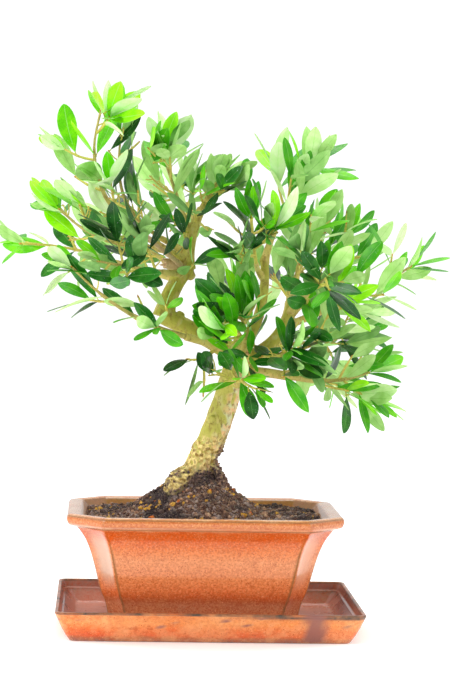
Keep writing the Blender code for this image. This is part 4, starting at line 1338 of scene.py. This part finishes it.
def buildTrunk():
    mesh = buildWood()
    masks = barkRelief(mesh)
    mesh.materials.clear()
    mesh.materials.append(barkMaterial())
    mesh.polygons.foreach_set("use_smooth", [True] * len(mesh.polygons))
    piece = bpy.data.objects.new("trunk_and_limbs", mesh)
    bpy.context.scene.collection.objects.link(piece)
    for name, values in masks.items():
        setAttribute(piece, name, values)
    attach(piece, "root")
    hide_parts(*woodenNames)
    print("bark mesh:", len(mesh.polygons) * 2, "triangles")
    return [point.co.copy() for point, share in zip(mesh.vertices, masks["soilAndShade"]) if share > 0.5]


soiledPlaces = buildTrunk()


# Sawn stub and dry twig

cutWood = {
    "sides": 22,
    "tear": 0.0022,                 # how ragged the end is
    # rings on the sawn end: part of its radius, rise
    "endRings": ((0.86, 0.0), (0.60, -0.0012), (0.30, -0.0006), (0.10, -0.0010)),
    "uneven": 0.0005,
    "splinters": 9,
    "splinter": (0.0006, 0.0004, 0.0001),           # radii along it
    "twigSplinters": (0.6, 2.9, 4.6),               # turns round the dry twig's end
    "twigSplinter": (0.0007, 0.0005, 0.0001),
    "knuckles": (3.5, 0.28),        # how many along the dry twig, and how thick
    "seed": 8,
}


def buildCutWood():
    rng = random.Random(cutWood["seed"])
    pile = MeshBin()
    sides = cutWood["sides"]
    points = smoothRun(runs["limb_stub"], 4)
    first, last = limbTable["limb_stub"].radii
    tear = [rng.uniform(-1, 1) * cutWood["tear"] for _ in range(sides)]
    rings = []
    for i, (point, aim, spoke, side) in enumerate(framesAlong(points)):
        share = i / (len(points) - 1)
        ring = []
        for k in range(sides):
            turn = 2 * math.pi * k / sides
            out = spoke * math.cos(turn) + side * math.sin(turn)
            knobbly = 1 + 0.10 * noise.noise(point * 500 + out * 3)
            radius = (first * 1.12 + (last - first) * share) * knobbly + first * 0.35 * math.exp(-share * 6)
            ring.append(point + out * radius + aim * tear[k] * share ** 3)
        rings.append(ring)
    aim = (points[-1] - points[-2]).normalized()
    rim = rings[-1]
    uneven = cutWood["uneven"]
    for part, rise in cutWood["endRings"]:
        lifts = [aim * (rise + rng.uniform(-uneven, uneven)) for _ in rim]
        rings.append([points[-1].lerp(edge, part) + lift for edge, lift in zip(rim, lifts)])
    loftInto(pile, rings)
    pile.slots = [1 if k >= (len(points) - 1) * sides else 0 for k in range(len(pile.faces))]
    for _ in range(cutWood["splinters"]):
        turn = rng.uniform(0, 6.28)
        out = across(aim, turn)
        start = points[-1] + out * last * rng.uniform(0.4, 0.95) - aim * 0.002
        end = start + (aim + out * rng.uniform(-0.1, 0.25)).normalized() * rng.uniform(0.003, 0.006)
        tubeInto(pile, [start, start.lerp(end, 0.6), end], cutWood["splinter"], 4, 1)
    dry = smoothRun(runs["twig_dry"], 5)
    first, last = limbTable["twig_dry"].radii
    knuckles, thicker = cutWood["knuckles"]
    radii = []
    for i in range(len(dry)):
        share = i / (len(dry) - 1)
        knuckle = thicker * max(0.0, math.cos(share * 2 * math.pi * knuckles)) ** 6
        radii.append((first + (last - first) * share) * (0.92 + knuckle))
    tubeInto(pile, dry, radii, 10)
    aim = (dry[-1] - dry[-2]).normalized()
    for turn in cutWood["twigSplinters"]:
        start = dry[-1] + across(aim, turn) * last * 0.5 - aim * 0.001
        points = [start, start + aim * 0.0022, start + aim * 0.0036]
        tubeInto(pile, points, cutWood["twigSplinter"], 4, 1)
    weathered, tree, shader = newMaterial("weathered_bark", 0.85, specular=0.25)
    grain = grained(tree, paint(172, 142, 98), paint(92, 66, 42), 0.0016, 0.9)
    worn = mottled(tree, grain["Color"], paint(202, 180, 140), 0.005, 2.0)
    feed(tree, shader["Base Color"], worn["Color"])
    addBump(tree, shader, grain["Height"], 0.0008, 0.9)
    sawn, tree, shader = newMaterial("sawn_wood", 0.8, specular=0.25)
    grain = grained(tree, paint(220, 190, 150), paint(140, 104, 76), 0.0010, 0.8)
    feed(tree, shader["Base Color"], grain["Color"])
    addBump(tree, shader, grain["Height"], 0.0006, 0.8)
    piece = makePiece("sawn_stub_and_dry_twig", pile, [weathered, sawn])
    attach(piece, "root")
    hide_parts("limb_stub", "twig_dry")


buildCutWood()
print("sawn wood made")


# Soil: a rough heaped surface, with crumbs and root fibres on it

soil = {
    "level": 0.0828,
    "heapMiddle": (-0.0110, 0.0),
    "heapRise": 0.0400,
    "heapReach": 0.0590,
    "heapPower": 1.1,
    "heapHollow": (0.22, 215),      # lower by this share, towards this azimuth
    "gap": 0.0004,
    "lumps": ((0.0270, 0.0030), (0.0130, 0.0018)),     # how wide, how high at most
    "grit": ((330, 0.0009), (900, 0.0004)),            # how close, how high at most
    "sink": 0.0007,                 # the crumbs stand on a surface this much lower
    # drop below the pot's rim, inset from its mouth, corner cut
    "walls": (
        (0.0733, 0.0274, 0.0100), (0.0707, 0.0234, 0.0110), (0.0400, 0.0134, 0.0130),
        (0.0120, 0.0054, 0.0150),
    ),
    "edgeCut": 0.0155,
    "rings": 64,
    # how many, their smallest size, how much more at most and the power that keeps most of them small
    "crumbs": (5600, 0.0005, 0.0014, 2.4),
    "onTrunk": (1300, 0.0004, 0.0009, 2),
    "clay": (900, 0.0006, 0.0019, 1.6),
    "clods": (420, 0.0014, 0.0030),                    # how many, smallest and largest
    "clayPatches": (60, -0.04),     # how close the patches with clay lie, and how much is bare
    "fibres": 2600,
    "fibreSteps": 4,
    "fibreRadius": 0.00018,
    "seed": 21,
}


def soilHeight(x, y):
    east = x - soil["heapMiddle"][0]
    north = y - soil["heapMiddle"][1]
    away = math.hypot(east, north) / soil["heapReach"]
    hollow, turn = soil["heapHollow"]
    facing = math.cos(math.atan2(north, east) - math.radians(turn))
    rise = soil["heapRise"] * (1.0 - hollow * max(0.0, facing))
    return soil["level"] + rise * max(0.0, 1.0 - away) ** soil["heapPower"]


def roughSoil(x, y):
    p = Vector((x, y, 0))
    level = soilHeight(x, y) - soil["sink"]
    level += sum(height * noise.noise(p / width) for width, height in soil["lumps"])
    for closeness, height in soil["grit"]:
        level += height * noise.noise(p * closeness)
    return level


def soilEdge():
    # where the soil's level meets the pot's inside, a gap short of it
    drop = pot["top"] - soil["level"]
    (start, high, _), (end, low, _) = pot["inside"][1:3]
    share = (drop - start) / (end - start)
    inset = high + (low - high) * share + soil["gap"]
    halfX, halfY = (half - inset for half in pot["mouth"])
    return potRing(halfX, halfY, soil["edgeCut"], 0.0, soil["level"])[0]


def soilMaterial(name, first, second, damp=None):
    material, tree, shader = newMaterial(name, 0.9, specular=0.25)
    color = mottled(tree, first, second, 0.0015, 3.4)["Color"]
    if damp:
        # darker, bluish stretches where the soil is damp
        wet = times(tree, spread(tree, noiseValue(tree, 0.024, 2.0), 0.46, 0.60), 0.85)
        color = mixColors(tree, wet, color, damp)
    dots = speckled(tree, color, paint(166, 144, 122), 0.0006, 0.4)
    feed(tree, shader["Base Color"], dots["Color"])
    addBump(tree, shader, noiseValue(tree, 0.0008, 3.0), 0.0006, 0.9)
    return material


crumbShape = [Vector(p).normalized() for p in (
    (0, 1, 1.6), (0, -1, 1.6), (0, 1, -1.6), (0, -1, -1.6), (1.6, 0, 1), (-1.6, 0, 1),
    (1.6, 0, -1), (-1.6, 0, -1), (1, 1.6, 0), (-1, 1.6, 0), (1, -1.6, 0), (-1, -1.6, 0))]
crumbFaces = (
    (0, 1, 4), (0, 5, 1), (0, 4, 8), (0, 8, 9), (0, 9, 5), (1, 10, 4), (1, 11, 10), (1, 5, 11),
    (2, 6, 3), (2, 3, 7), (2, 8, 6), (2, 9, 8), (2, 7, 9), (3, 6, 10), (3, 10, 11), (3, 11, 7),
    (4, 10, 6), (4, 6, 8), (5, 9, 7), (5, 7, 11))


def crumbInto(pile, rng, place, size, slot, rough=0.22):
    turn = Matrix.Rotation(rng.uniform(0, 6.28), 3, heading(rng.uniform(0, 360), rng.uniform(-90, 90)))
    scale = Vector((rng.uniform(0.7, 1.3), rng.uniform(0.7, 1.2), rng.uniform(0.6, 1.0))) * size
    points = [place + turn @ (p * scale * rng.uniform(1 - rough, 1 + rough)) for p in crumbShape]
    pile.add(points, list(crumbFaces), [slot] * len(crumbFaces))


def onSoil(point, rise=0.0):
    return Vector((point.x, point.y, roughSoil(point.x, point.y) + rise))


def soilSpot(rng, edge):
    # a place on the surface, any part of it about as likely as any other
    k = rng.randrange(len(edge))
    share = math.sqrt(rng.uniform(0.0, 0.985))
    rim = edge[k].lerp(edge[k - 1], rng.random())
    return onSoil(Vector((*soil["heapMiddle"], 0)).lerp(rim, share))


def buildSoil():
    rng = random.Random(soil["seed"])
    edge = soilEdge()
    middle = Vector((*soil["heapMiddle"], 0))
    rings = []
    for drop, inset, cut in soil["walls"]:
        halfX, halfY = (half - inset for half in pot["mouth"])
        rings.append(potRing(halfX, halfY, cut, 0.0, pot["top"] - drop)[0])
    rings.append(edge)
    for k in range(1, soil["rings"]):
        share = 1 - k / soil["rings"]
        rings.append([onSoil(middle.lerp(point, share)) for point in edge])
    pile = MeshBin()
    loftInto(pile, rings)
    damp = paint(44, 35, 42)
    dark = soilMaterial("soil_dark", paint(58, 39, 37), paint(116, 82, 68), damp=damp)
    base = makePiece("soil_heap", pile, [dark])
    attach(base, "root")
    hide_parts("soil")
    crumbs = MeshBin()              # slots: 0 dark, 1 brown, 2 grey, 3 ochre, 4 orange
    count, least, more, power = soil["crumbs"]
    for _ in range(count):
        size = least + more * rng.random() ** power
        spot = soilSpot(rng, edge) + Vector((0, 0, size * 0.3))
        crumbInto(crumbs, rng, spot, size, rng.choice((0, 0, 0, 1, 2, 2)))
    count, least, most = soil["clods"]
    for _ in range(count):
        size = rng.uniform(least, most)
        crumbInto(crumbs, rng, soilSpot(rng, edge), size, rng.choice((0, 0, 1, 2)), rough=0.4)
    count, least, more, power = soil["onTrunk"]
    for _ in range(count):
        size = least + more * rng.random() ** power
        crumbInto(crumbs, rng, rng.choice(soiledPlaces), size, rng.choice((0, 0, 1, 2, 2)))
    count, least, more, power = soil["clay"]
    closeness, bareShare = soil["clayPatches"]
    for _ in range(count):
        spot = soilSpot(rng, edge)
        if noise.noise(spot * closeness) > bareShare:
            size = least + more * rng.random() ** power
            crumbInto(crumbs, rng, spot, size, rng.choice((1, 3, 3, 3, 3, 4)), rough=0.5)
    brown = soilMaterial("soil_brown", paint(130, 86, 66), paint(196, 158, 130), damp=damp)
    grey = soilMaterial("soil_grey", paint(92, 72, 74), paint(168, 148, 140), damp=damp)
    ochre = soilMaterial("clay_ochre", paint(222, 168, 66), paint(156, 106, 38))
    orange = soilMaterial("clay_orange", paint(206, 108, 40), paint(140, 70, 32))
    litter = makePiece("soil_crumbs", crumbs, [dark, brown, grey, ochre, orange])
    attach(litter, "root")
    fibres = MeshBin()
    halfX = max(abs(point.x - pot["shift"]) for point in edge) - 0.001
    halfY = max(abs(point.y) for point in edge) - 0.001
    radii = [soil["fibreRadius"]] * (soil["fibreSteps"] + 1)
    for _ in range(soil["fibres"]):
        start = soilSpot(rng, edge)
        points = [start + Vector((0, 0, 0.0003))]
        azimuth = rng.uniform(0, 360)
        for _ in range(soil["fibreSteps"]):
            azimuth += rng.uniform(-35, 35)
            ahead = points[-1] + heading(azimuth, 0) * rng.uniform(0.001, 0.0022)
            points.append(onSoil(ahead, rng.uniform(0.0001, 0.0011)))
        if abs(points[-1].x - pot["shift"]) < halfX and abs(points[-1].y) < halfY:
            tubeInto(fibres, points, radii, 3, rng.choice((0, 1, 1)))
    roots = makePiece("soil_fibres", fibres, [brown, grey])
    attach(roots, "root")
    print("soil:", len(crumbs.faces), "crumb faces,", len(fibres.faces), "fibre faces")


buildSoil()


# Leaves: closed thin blades, each with its margin, midrib, upper side and underside

blade = {
    "stations": (0.0, 0.045, 0.085, 0.15, 0.24, 0.35, 0.47, 0.59, 0.71, 0.82, 0.91, 0.97),
    "stalk": 0.085,                 # share of the length that is stalk
    "stalkWidth": 0.00055,
    "width": (0.126, 0.176),        # half width against the length
    "foot": 0.95,                   # powers of the outline at its foot and its tip
    "tip": (0.62, 0.90),
    "thickness": 0.00040,
    "fold": 0.22,
    "recurve": 0.35,
    "droop": 0.060,
    "longer": (1.08, 1.38),         # soft tips may stand a little proud of the solids
    "proud": 0.0030,                # no leaf is lengthened further than this out of its solid's box
    "fitTries": 8, "fitStep": 0.96,     # shortened so often and so much to fit
    "rootDepth": 0.0006,            # how deep the stalk starts inside its twig
    "stalkThickness": 0.0008,
    "slimmest": 0.0004,
    "roll": 0.70,                   # radians round the spine, either way
    "sunward": 0.84,                # chance that a leaf facing inwards is turned to the light
    "lightRise": 0.6,
    "foldPart": (0.2, 1.3),         # parts of the fold and the recurve that a leaf gets
    "recurvePart": (0.2, 1.2),
    "twist": 0.45, "sickle": 0.035,     # at most, either way
    "arch": (-0.015, 0.04),
    "sharpAngle": 75,
    "seedShift": 900,
    # across a blade: share of its half width, and share of its thickness up or down
    "ring": ((1, 0), (0.5, 0.5), (0, 0.4), (-0.5, 0.5), (-1, 0), (-0.5, -0.5), (0, -0.9), (0.5, -0.5)),
    # upper side, its cloudier tint, underside, its tint
    "tones": {
        "deep": (paint(14, 62, 14), paint(30, 90, 28), paint(112, 162, 84), paint(138, 186, 108)),
        "dark": (paint(22, 94, 14), paint(42, 124, 26), paint(136, 190, 98), paint(166, 212, 126)),
        "mid": (paint(48, 144, 0), paint(80, 170, 10), paint(166, 216, 118), paint(194, 234, 150)),
        "fresh": (paint(88, 190, 0), paint(118, 212, 2), paint(196, 240, 148), paint(222, 250, 184)),
        "lime": (paint(132, 224, 0), paint(160, 240, 24), paint(216, 250, 176), paint(236, 255, 210)),
    },
    # each mass on the way from deep, 0, to lime, 4
    "massTone": {
        "mass_crest": 3.0, "mass_left_spray": 2.9, "mass_far_left": 3.0, "mass_left_middle": 1.1,
        "mass_left_front": 0.6, "mass_low_left": 1.8, "mass_top_left": 2.5, "mass_crown": 1.7,
        "mass_back_left": 1.5, "mass_back_top": 2.0, "mass_right_top": 1.8, "mass_right_inner": 1.5,
        "mass_right_middle": 1.7, "mass_right_upper": 2.3, "mass_far_right": 2.3,
        "mass_right_front": 1.6, "mass_upright": 2.8, "mass_low_right": 2.1, "mass_rosette": 1.7,
        "mass_front_centre": 1.8, "mass_middle_low": 0.9, "mass_under_left": 1.3,
        "mass_back_right": 1.8, "mass_back_low": 1.2, "mass_back_centre": 1.5,
    },
    "sprayTone": 1.1, "leafTone": 0.9,      # how far a spray and a leaf may be off its mass's tone
    "youthTone": (1.6, 0.6),        # how much lighter younger leaves are, and the age that is neither
    # broader young leaves
    "broad": {
        "mass_crest": 1.32, "mass_left_spray": 1.22, "mass_far_left": 1.2, "mass_top_left": 1.2,
        "mass_crown": 1.12,
    },
}


def bladeWidth(share, tip):
    if share < blade["stalk"]:
        return 0.0
    s = (share - blade["stalk"]) / (1 - blade["stalk"])
    foot = blade["foot"]
    widest = foot / (foot + tip)
    return s ** foot * (1 - s) ** tip / (widest ** foot * (1 - widest) ** tip)


def leafInto(pile, rng, leaf, toneIndex, box, broad):
    reach = leaf.length * rng.uniform(*blade["longer"])
    proud = blade["proud"]
    for _ in range(blade["fitTries"]):
        tip = leaf.base + leaf.aim * reach
        inside = all(low - proud < value < high + proud for low, value, high in zip(box[0], tip, box[1]))
        if inside or reach < leaf.length:
            break
        reach *= blade["fitStep"]
    roll = Matrix.Rotation(rng.uniform(-1, 1) * blade["roll"], 3, leaf.aim)
    leaf = leaf._replace(face=roll @ leaf.face)
    light = Vector((leaf.base.x, leaf.base.y, 0)).normalized() + Vector((0, 0, blade["lightRise"]))
    if leaf.face.dot(light) < 0 and rng.random() < blade["sunward"]:
        leaf = leaf._replace(face=-leaf.face)
    side = leaf.aim.cross(leaf.face)
    length = reach + blade["rootDepth"]
    base = leaf.base - leaf.aim * blade["rootDepth"]
    width = rng.uniform(*blade["width"]) * reach * broad
    tipPower = rng.uniform(*blade["tip"])
    fold = blade["fold"] * rng.uniform(*blade["foldPart"])
    twist = rng.uniform(-blade["twist"], blade["twist"])
    arch = rng.uniform(*blade["arch"])
    sickle = rng.uniform(-blade["sickle"], blade["sickle"])
    recurve = blade["recurve"] * rng.uniform(*blade["recurvePart"])
    points, maps = [], []
    for share in blade["stations"]:
        isStalk = share < blade["stalk"]
        if isStalk:
            half, thick = blade["stalkWidth"] * (1 - 2.5 * share), blade["stalkThickness"]
        else:
            half = max(width * bladeWidth(share, tipPower), blade["slimmest"])
            thick = blade["thickness"]
        lean = twist * share
        sideNow = side * math.cos(lean) + leaf.face * math.sin(lean)
        faceNow = leaf.face * math.cos(lean) - side * math.sin(lean)
        bend = (arch * math.sin(math.pi * share) - blade["droop"] * share * share) * reach
        bow = sickle * math.sin(math.pi * share) * reach
        centre = base + leaf.aim * (length * share) + leaf.face * bend + side * bow
        for u, layer in blade["ring"]:
            out = abs(u)
            rise = 0.0 if isStalk else (fold * out - recurve * 2 * max(0.0, out - 0.55) ** 2) * half
            points.append(centre + sideNow * (u * half) + faceNow * (rise + layer * thick))
            maps.append((0.5 + 0.5 * u, share))
    points.append(base + leaf.aim * length - leaf.face * (blade["droop"] * reach))
    maps.append((0.5, 1.0))
    ring = len(blade["ring"])
    rows = len(blade["stations"])
    faces = ringFaces(rows, ring)
    top, back = 1 + toneIndex * 2, 2 + toneIndex * 2
    bands = [top] * 4 + [back] * 4
    slots = []
    for end in blade["stations"][1:]:
        slots += [0] * ring if end < blade["stalk"] + 0.04 else bands
    tip = rows * ring
    for k in range(ring):
        faces.append((tip - ring + k, tip - ring + (k + 1) % ring, tip))
    faces.append(tuple(range(ring)))
    pile.add(points, faces, slots + bands + [0], maps)


def leafMaterials():
    stalk, tree, shader = newMaterial("leaf_stalk", 0.5)
    tint = mottled(tree, paint(214, 208, 86), paint(184, 190, 70), 0.004, 2.0)
    feed(tree, shader["Base Color"], tint["Color"])
    made = [stalk]
    for tone, (top, topTint, back, backTint) in blade["tones"].items():
        topGlintsAndSpots, coat = (1.0, 0.30) if tone in ("deep", "dark") else (0.5, 0.08)
        # name, colours of blade and lines, strength of lines and of the pale specks (painted glints), coat,
        # added roughness
        sides = (
            ("upper", (top, topTint, backTint), (0.22, topGlintsAndSpots), coat, 0.0),
            ("under", (back, backTint, topTint), (0.30, 0.2), 0.0, 0.3),
        )
        for sideName, (first, second, line), (lines, glintsAndSpots), coat, rougher in sides:
            material, tree, shader = newMaterial(f"leaf_{tone}_{sideName}", 0.4, coat=coat, specular=0.2)
            surface = {
                "Color": first, "Other Color": second, "Line Color": line, "Lines": lines,
                "Speck Color": paint(186, 212, 196), "Glints And Spots": glintsAndSpots,
            }
            surface = useGroup(tree, leafSurface, surface)
            feed(tree, shader["Base Color"], surface["Color"])
            feed(tree, shader["Roughness"], plus(tree, surface["Roughness"], rougher))
            addBump(tree, shader, surface["Height"], 0.0003, 0.5)
            made.append(material)
    return made


def buildLeaves():
    materials = leafMaterials()
    sprayRange, leafRange = blade["sprayTone"], blade["leafTone"]
    lighter, middleAge = blade["youthTone"]
    for kind in ("leaves", "young_leaves"):
        nodes = [part["node"] for part in frame["record"]["subparts"]
                 if part["material_slot"] == kind and part["node"] in massTable]
        pile = MeshBin()
        for name in nodes:
            rng = random.Random(massTable[name].seed + blade["seedShift"])
            sprays = {}
            for leaf in grown[name][2]:
                if leaf.spray not in sprays:
                    sprays[leaf.spray] = blade["massTone"][name] + rng.uniform(-sprayRange, sprayRange)
                tone = sprays[leaf.spray] + lighter * (leaf.youth - middleAge)
                tone = round(tone + rng.uniform(-leafRange, leafRange))
                tone = min(max(tone, 0), len(blade["tones"]) - 1)
                leafInto(pile, rng, leaf, tone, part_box(name), blade["broad"].get(name, 1.0))
        piece = makePiece(kind, pile, materials, "leafMap")
        piece.data.set_sharp_from_angle(angle=math.radians(blade["sharpAngle"]))
        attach(piece, "root")
        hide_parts(*nodes)
        print(kind, sum(len(face) - 2 for face in pile.faces), "triangles")


buildLeaves()


# Twigs: stems, shoots and twiglets with their leaf nodes and buds

twigs = {
    "stemShare": 0.74,
    "stemTip": 0.0007,
    "sides": 7,
    "overlap": 0.0020,              # how far a stem starts inside its bough
    "nodeSwelling": (0.30, 0.035),  # how much thicker at a pair of leaves, over what share
    "uneven": 0.05,
    "youngUnder": 0.0015,           # stems thinner than this at their foot have young bark
    "stemNodes": (0.12, 0.85),      # shares of the stem where its pairs start, and that they spread over
    "shootNodes": (0.62, 0.95), "twigletNodes": (0.8,),
    "budLength": 0.0030, "shootBud": 0.9, "twigletBud": 0.6,
    "budShape": ((0, 0.5), (0.2, 0.95), (0.45, 1.0), (0.75, 0.6), (1, 0.08)),
    "seedShift": 400,
}


def twigInto(pile, rng, points, radii, nodes, slot):
    smooth = smoothRun(points, 5)
    last = len(smooth) - 1
    swelling, width = twigs["nodeSwelling"]
    sizes = []
    for i in range(last + 1):
        share = i / last
        swollen = sum(math.exp(-((share - node) / width) ** 2) for node in nodes) * swelling
        uneven = rng.uniform(-twigs["uneven"], twigs["uneven"])
        sizes.append((radii[0] + (radii[1] - radii[0]) * share) * (1 + swollen + uneven))
    tubeInto(pile, smooth, sizes, twigs["sides"], slot)


def budInto(pile, points, size):
    # at the end of a twig, along its last stretch
    aim = directionAt(points, 1)
    place = [points[-1] + aim * (size * share - 0.0003) for share, _ in twigs["budShape"]]
    tubeInto(pile, place, [size * 0.26 * width for _, width in twigs["budShape"]], 6, 2)


def twigMaterial(name, first, second, crack):
    material, tree, shader = newMaterial(name, 0.6, specular=0.35)
    tint = mottled(tree, first, second, 0.005, 2.4)
    grain = grained(tree, tint["Color"], crack, 0.0012, 0.6)
    feed(tree, shader["Base Color"], grain["Color"])
    addBump(tree, shader, grain["Height"], 0.0004, 0.6)
    return material


def buildTwigs():
    pile = MeshBin()
    for name, mass in massTable.items():
        rng = random.Random(mass.seed + twigs["seedShift"])
        shoots, twiglets, _ = grown[name]
        stem = stems[name]
        startAim = (stem[1] - stem[0]).normalized()
        run = [stem[0] - startAim * twigs["overlap"]] + stem[1:]
        startRadius = limbTable[mass.limb].radii[1] * twigs["stemShare"]
        start, spreadOver = twigs["stemNodes"]
        pairs = growth["stemPairs"]
        nodes = [start + spreadOver * (k + 1) / pairs for k in range(pairs)]
        slot = 0 if startRadius > twigs["youngUnder"] else 1
        twigInto(pile, rng, run, (startRadius, twigs["stemTip"]), nodes, slot)
        budInto(pile, run, twigs["budLength"])
        for kind, finished in (("shoot", shoots), ("twiglet", twiglets)):
            for twig in finished:
                twigInto(pile, rng, twig.points, twig.radii, twigs[kind + "Nodes"], 1)
                budInto(pile, twig.points, twigs["budLength"] * twigs[kind + "Bud"])
    old = twigMaterial("twig_bark", paint(194, 176, 104), paint(168, 156, 76), paint(122, 96, 54))
    young = twigMaterial("young_twig", paint(204, 202, 90), paint(214, 190, 98), paint(156, 136, 66))
    bud = twigMaterial("bud", paint(214, 176, 74), paint(196, 120, 52), paint(140, 90, 40))
    piece = makePiece("twigs", pile, [old, young, bud])
    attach(piece, "root")
    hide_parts(*massTable)
    print("twigs", sum(len(face) - 2 for face in pile.faces), "triangles")


buildTwigs()


# Studio: camera at the photo's viewing angle, pale floor, soft light

studio = {
    "cameraPlace": (-0.0812, -1.7453, 0.2906),
    "lens": 126.5, "sensor": 36.0,
    "nearAndFar": (0.05, 20.0),
    "turnRight": 2.99, "tipDown": 2.5, "roll": 1.15,      # degrees
    "floorHalf": 4.0,
    # the glow is low near the tray, which paints a faint shade round it
    "floorGlow": (0.05, 0.42),      # under the tray and far away: keeps the floor white to the horizon
    "glowStarts": (0.095, 0.145),   # distances from the middle where the glow rises
    "skyStrength": 0.50,
    "sideSky": 0.75, "backSky": 0.55,      # more light from both sides and from behind
    "skyBelow": (0.55, 0.55, 0.56, 1), "skyAbove": (1, 1, 1, 1),
    "backdrop": 1.1,                # how bright the empty background is
    # place, aim point, size and power of each soft box, and whether the glaze mirrors it
    "lights": (
        ((-1.1, -1.1, 1.25), (0.0, 0.0, 0.2), 0.9, 19.0, True),
        ((1.25, -0.9, 0.95), (0.0, 0.0, 0.15), 0.9, 9.0, True),
        ((0.1, 0.5, 1.7), (0.0, 0.0, 0.2), 1.0, 13.0, True),
        ((-1.0, 0.1, 0.12), (0.0, 0.0, 0.08), 0.5, 3.0, False),
    ),
}


def buildStudio():
    camera = bpy.data.cameras.new("camera")
    camera.lens = studio["lens"]
    camera.sensor_width = studio["sensor"]
    camera.clip_start, camera.clip_end = studio["nearAndFar"]
    holder = bpy.data.objects.new("camera", camera)
    bpy.context.scene.collection.objects.link(holder)
    turn = Matrix.Rotation(math.radians(-studio["turnRight"]), 4, "Z")
    tip = Matrix.Rotation(math.radians(90 - studio["tipDown"]), 4, "X")
    roll = Matrix.Rotation(math.radians(studio["roll"]), 4, "Z")
    holder.matrix_world = Matrix.Translation(studio["cameraPlace"]) @ turn @ tip @ roll
    bpy.context.scene.camera = holder
    for index, (place, target, size, power, isMirrored) in enumerate(studio["lights"]):
        light = bpy.data.lights.new(f"soft_box_{index}", "AREA")
        light.size = size
        light.energy = power
        lamp = bpy.data.objects.new(light.name, light)
        bpy.context.scene.collection.objects.link(lamp)
        lamp.visible_glossy = isMirrored
        lamp.location = place
        lamp.rotation_mode = "QUATERNION"
        lamp.rotation_quaternion = (Vector(target) - Vector(place)).to_track_quat("-Z", "Y")
    pile = MeshBin()
    half = studio["floorHalf"]
    corners = ((-half, -half), (half, -half), (half, half), (-half, half))
    pile.add([Vector((x, y, 0)) for x, y in corners], [(0, 1, 2, 3)], [0])
    material, tree, shader = newMaterial("pale_floor", 0.9, specular=0.1)
    tint = mottled(tree, paint(246, 246, 246), paint(250, 250, 250), 0.2, 1.0)
    feed(tree, shader["Base Color"], tint["Color"])
    shader["Emission Color"].default_value = (1, 1, 1, 1)
    place = addNode(tree, "ShaderNodeTexCoord").outputs["Object"]
    away = addNode(tree, "ShaderNodeVectorMath", {0: place}, operation="LENGTH").outputs["Value"]
    # low glow near the tray: a painted faint shade round it, rising to white further out
    near, far = studio["floorGlow"]
    rising = times(tree, spread(tree, away, *studio["glowStarts"]), far - near)
    feed(tree, shader["Emission Strength"], plus(tree, near, rising))
    floor = makePiece("floor", pile, [material])
    world = bpy.data.worlds.new("studio")
    world.use_nodes = True
    bpy.context.scene.world = world
    tree = world.node_tree
    background = tree.nodes["Background"]
    direction = addNode(tree, "ShaderNodeTexCoord").outputs["Generated"]
    east, north, height = addNode(tree, "ShaderNodeSeparateXYZ", {0: direction}).outputs
    fromSides = spread(tree, maths(tree, "ABSOLUTE", east), 0.5, 0.95)
    glow = times(tree, fromSides, studio["sideSky"])
    glow = plus(tree, glow, times(tree, spread(tree, north, 0.0, 0.9), studio["backSky"]))
    glow = plus(tree, glow, studio["skyStrength"])
    shade = mixColors(tree, spread(tree, height, -0.3, 0.7), studio["skyBelow"], studio["skyAbove"])
    isSeen = addNode(tree, "ShaderNodeLightPath").outputs["Is Camera Ray"]
    feed(tree, background.inputs["Color"], mixColors(tree, isSeen, shade, studio["skyAbove"]))
    seen = times(tree, isSeen, studio["backdrop"])
    unseen = times(tree, glow, minus(tree, 1.0, isSeen))
    feed(tree, background.inputs["Strength"], plus(tree, unseen, seen))
    bpy.context.scene.view_settings.view_transform = "Standard"


buildStudio()
print("studio set")
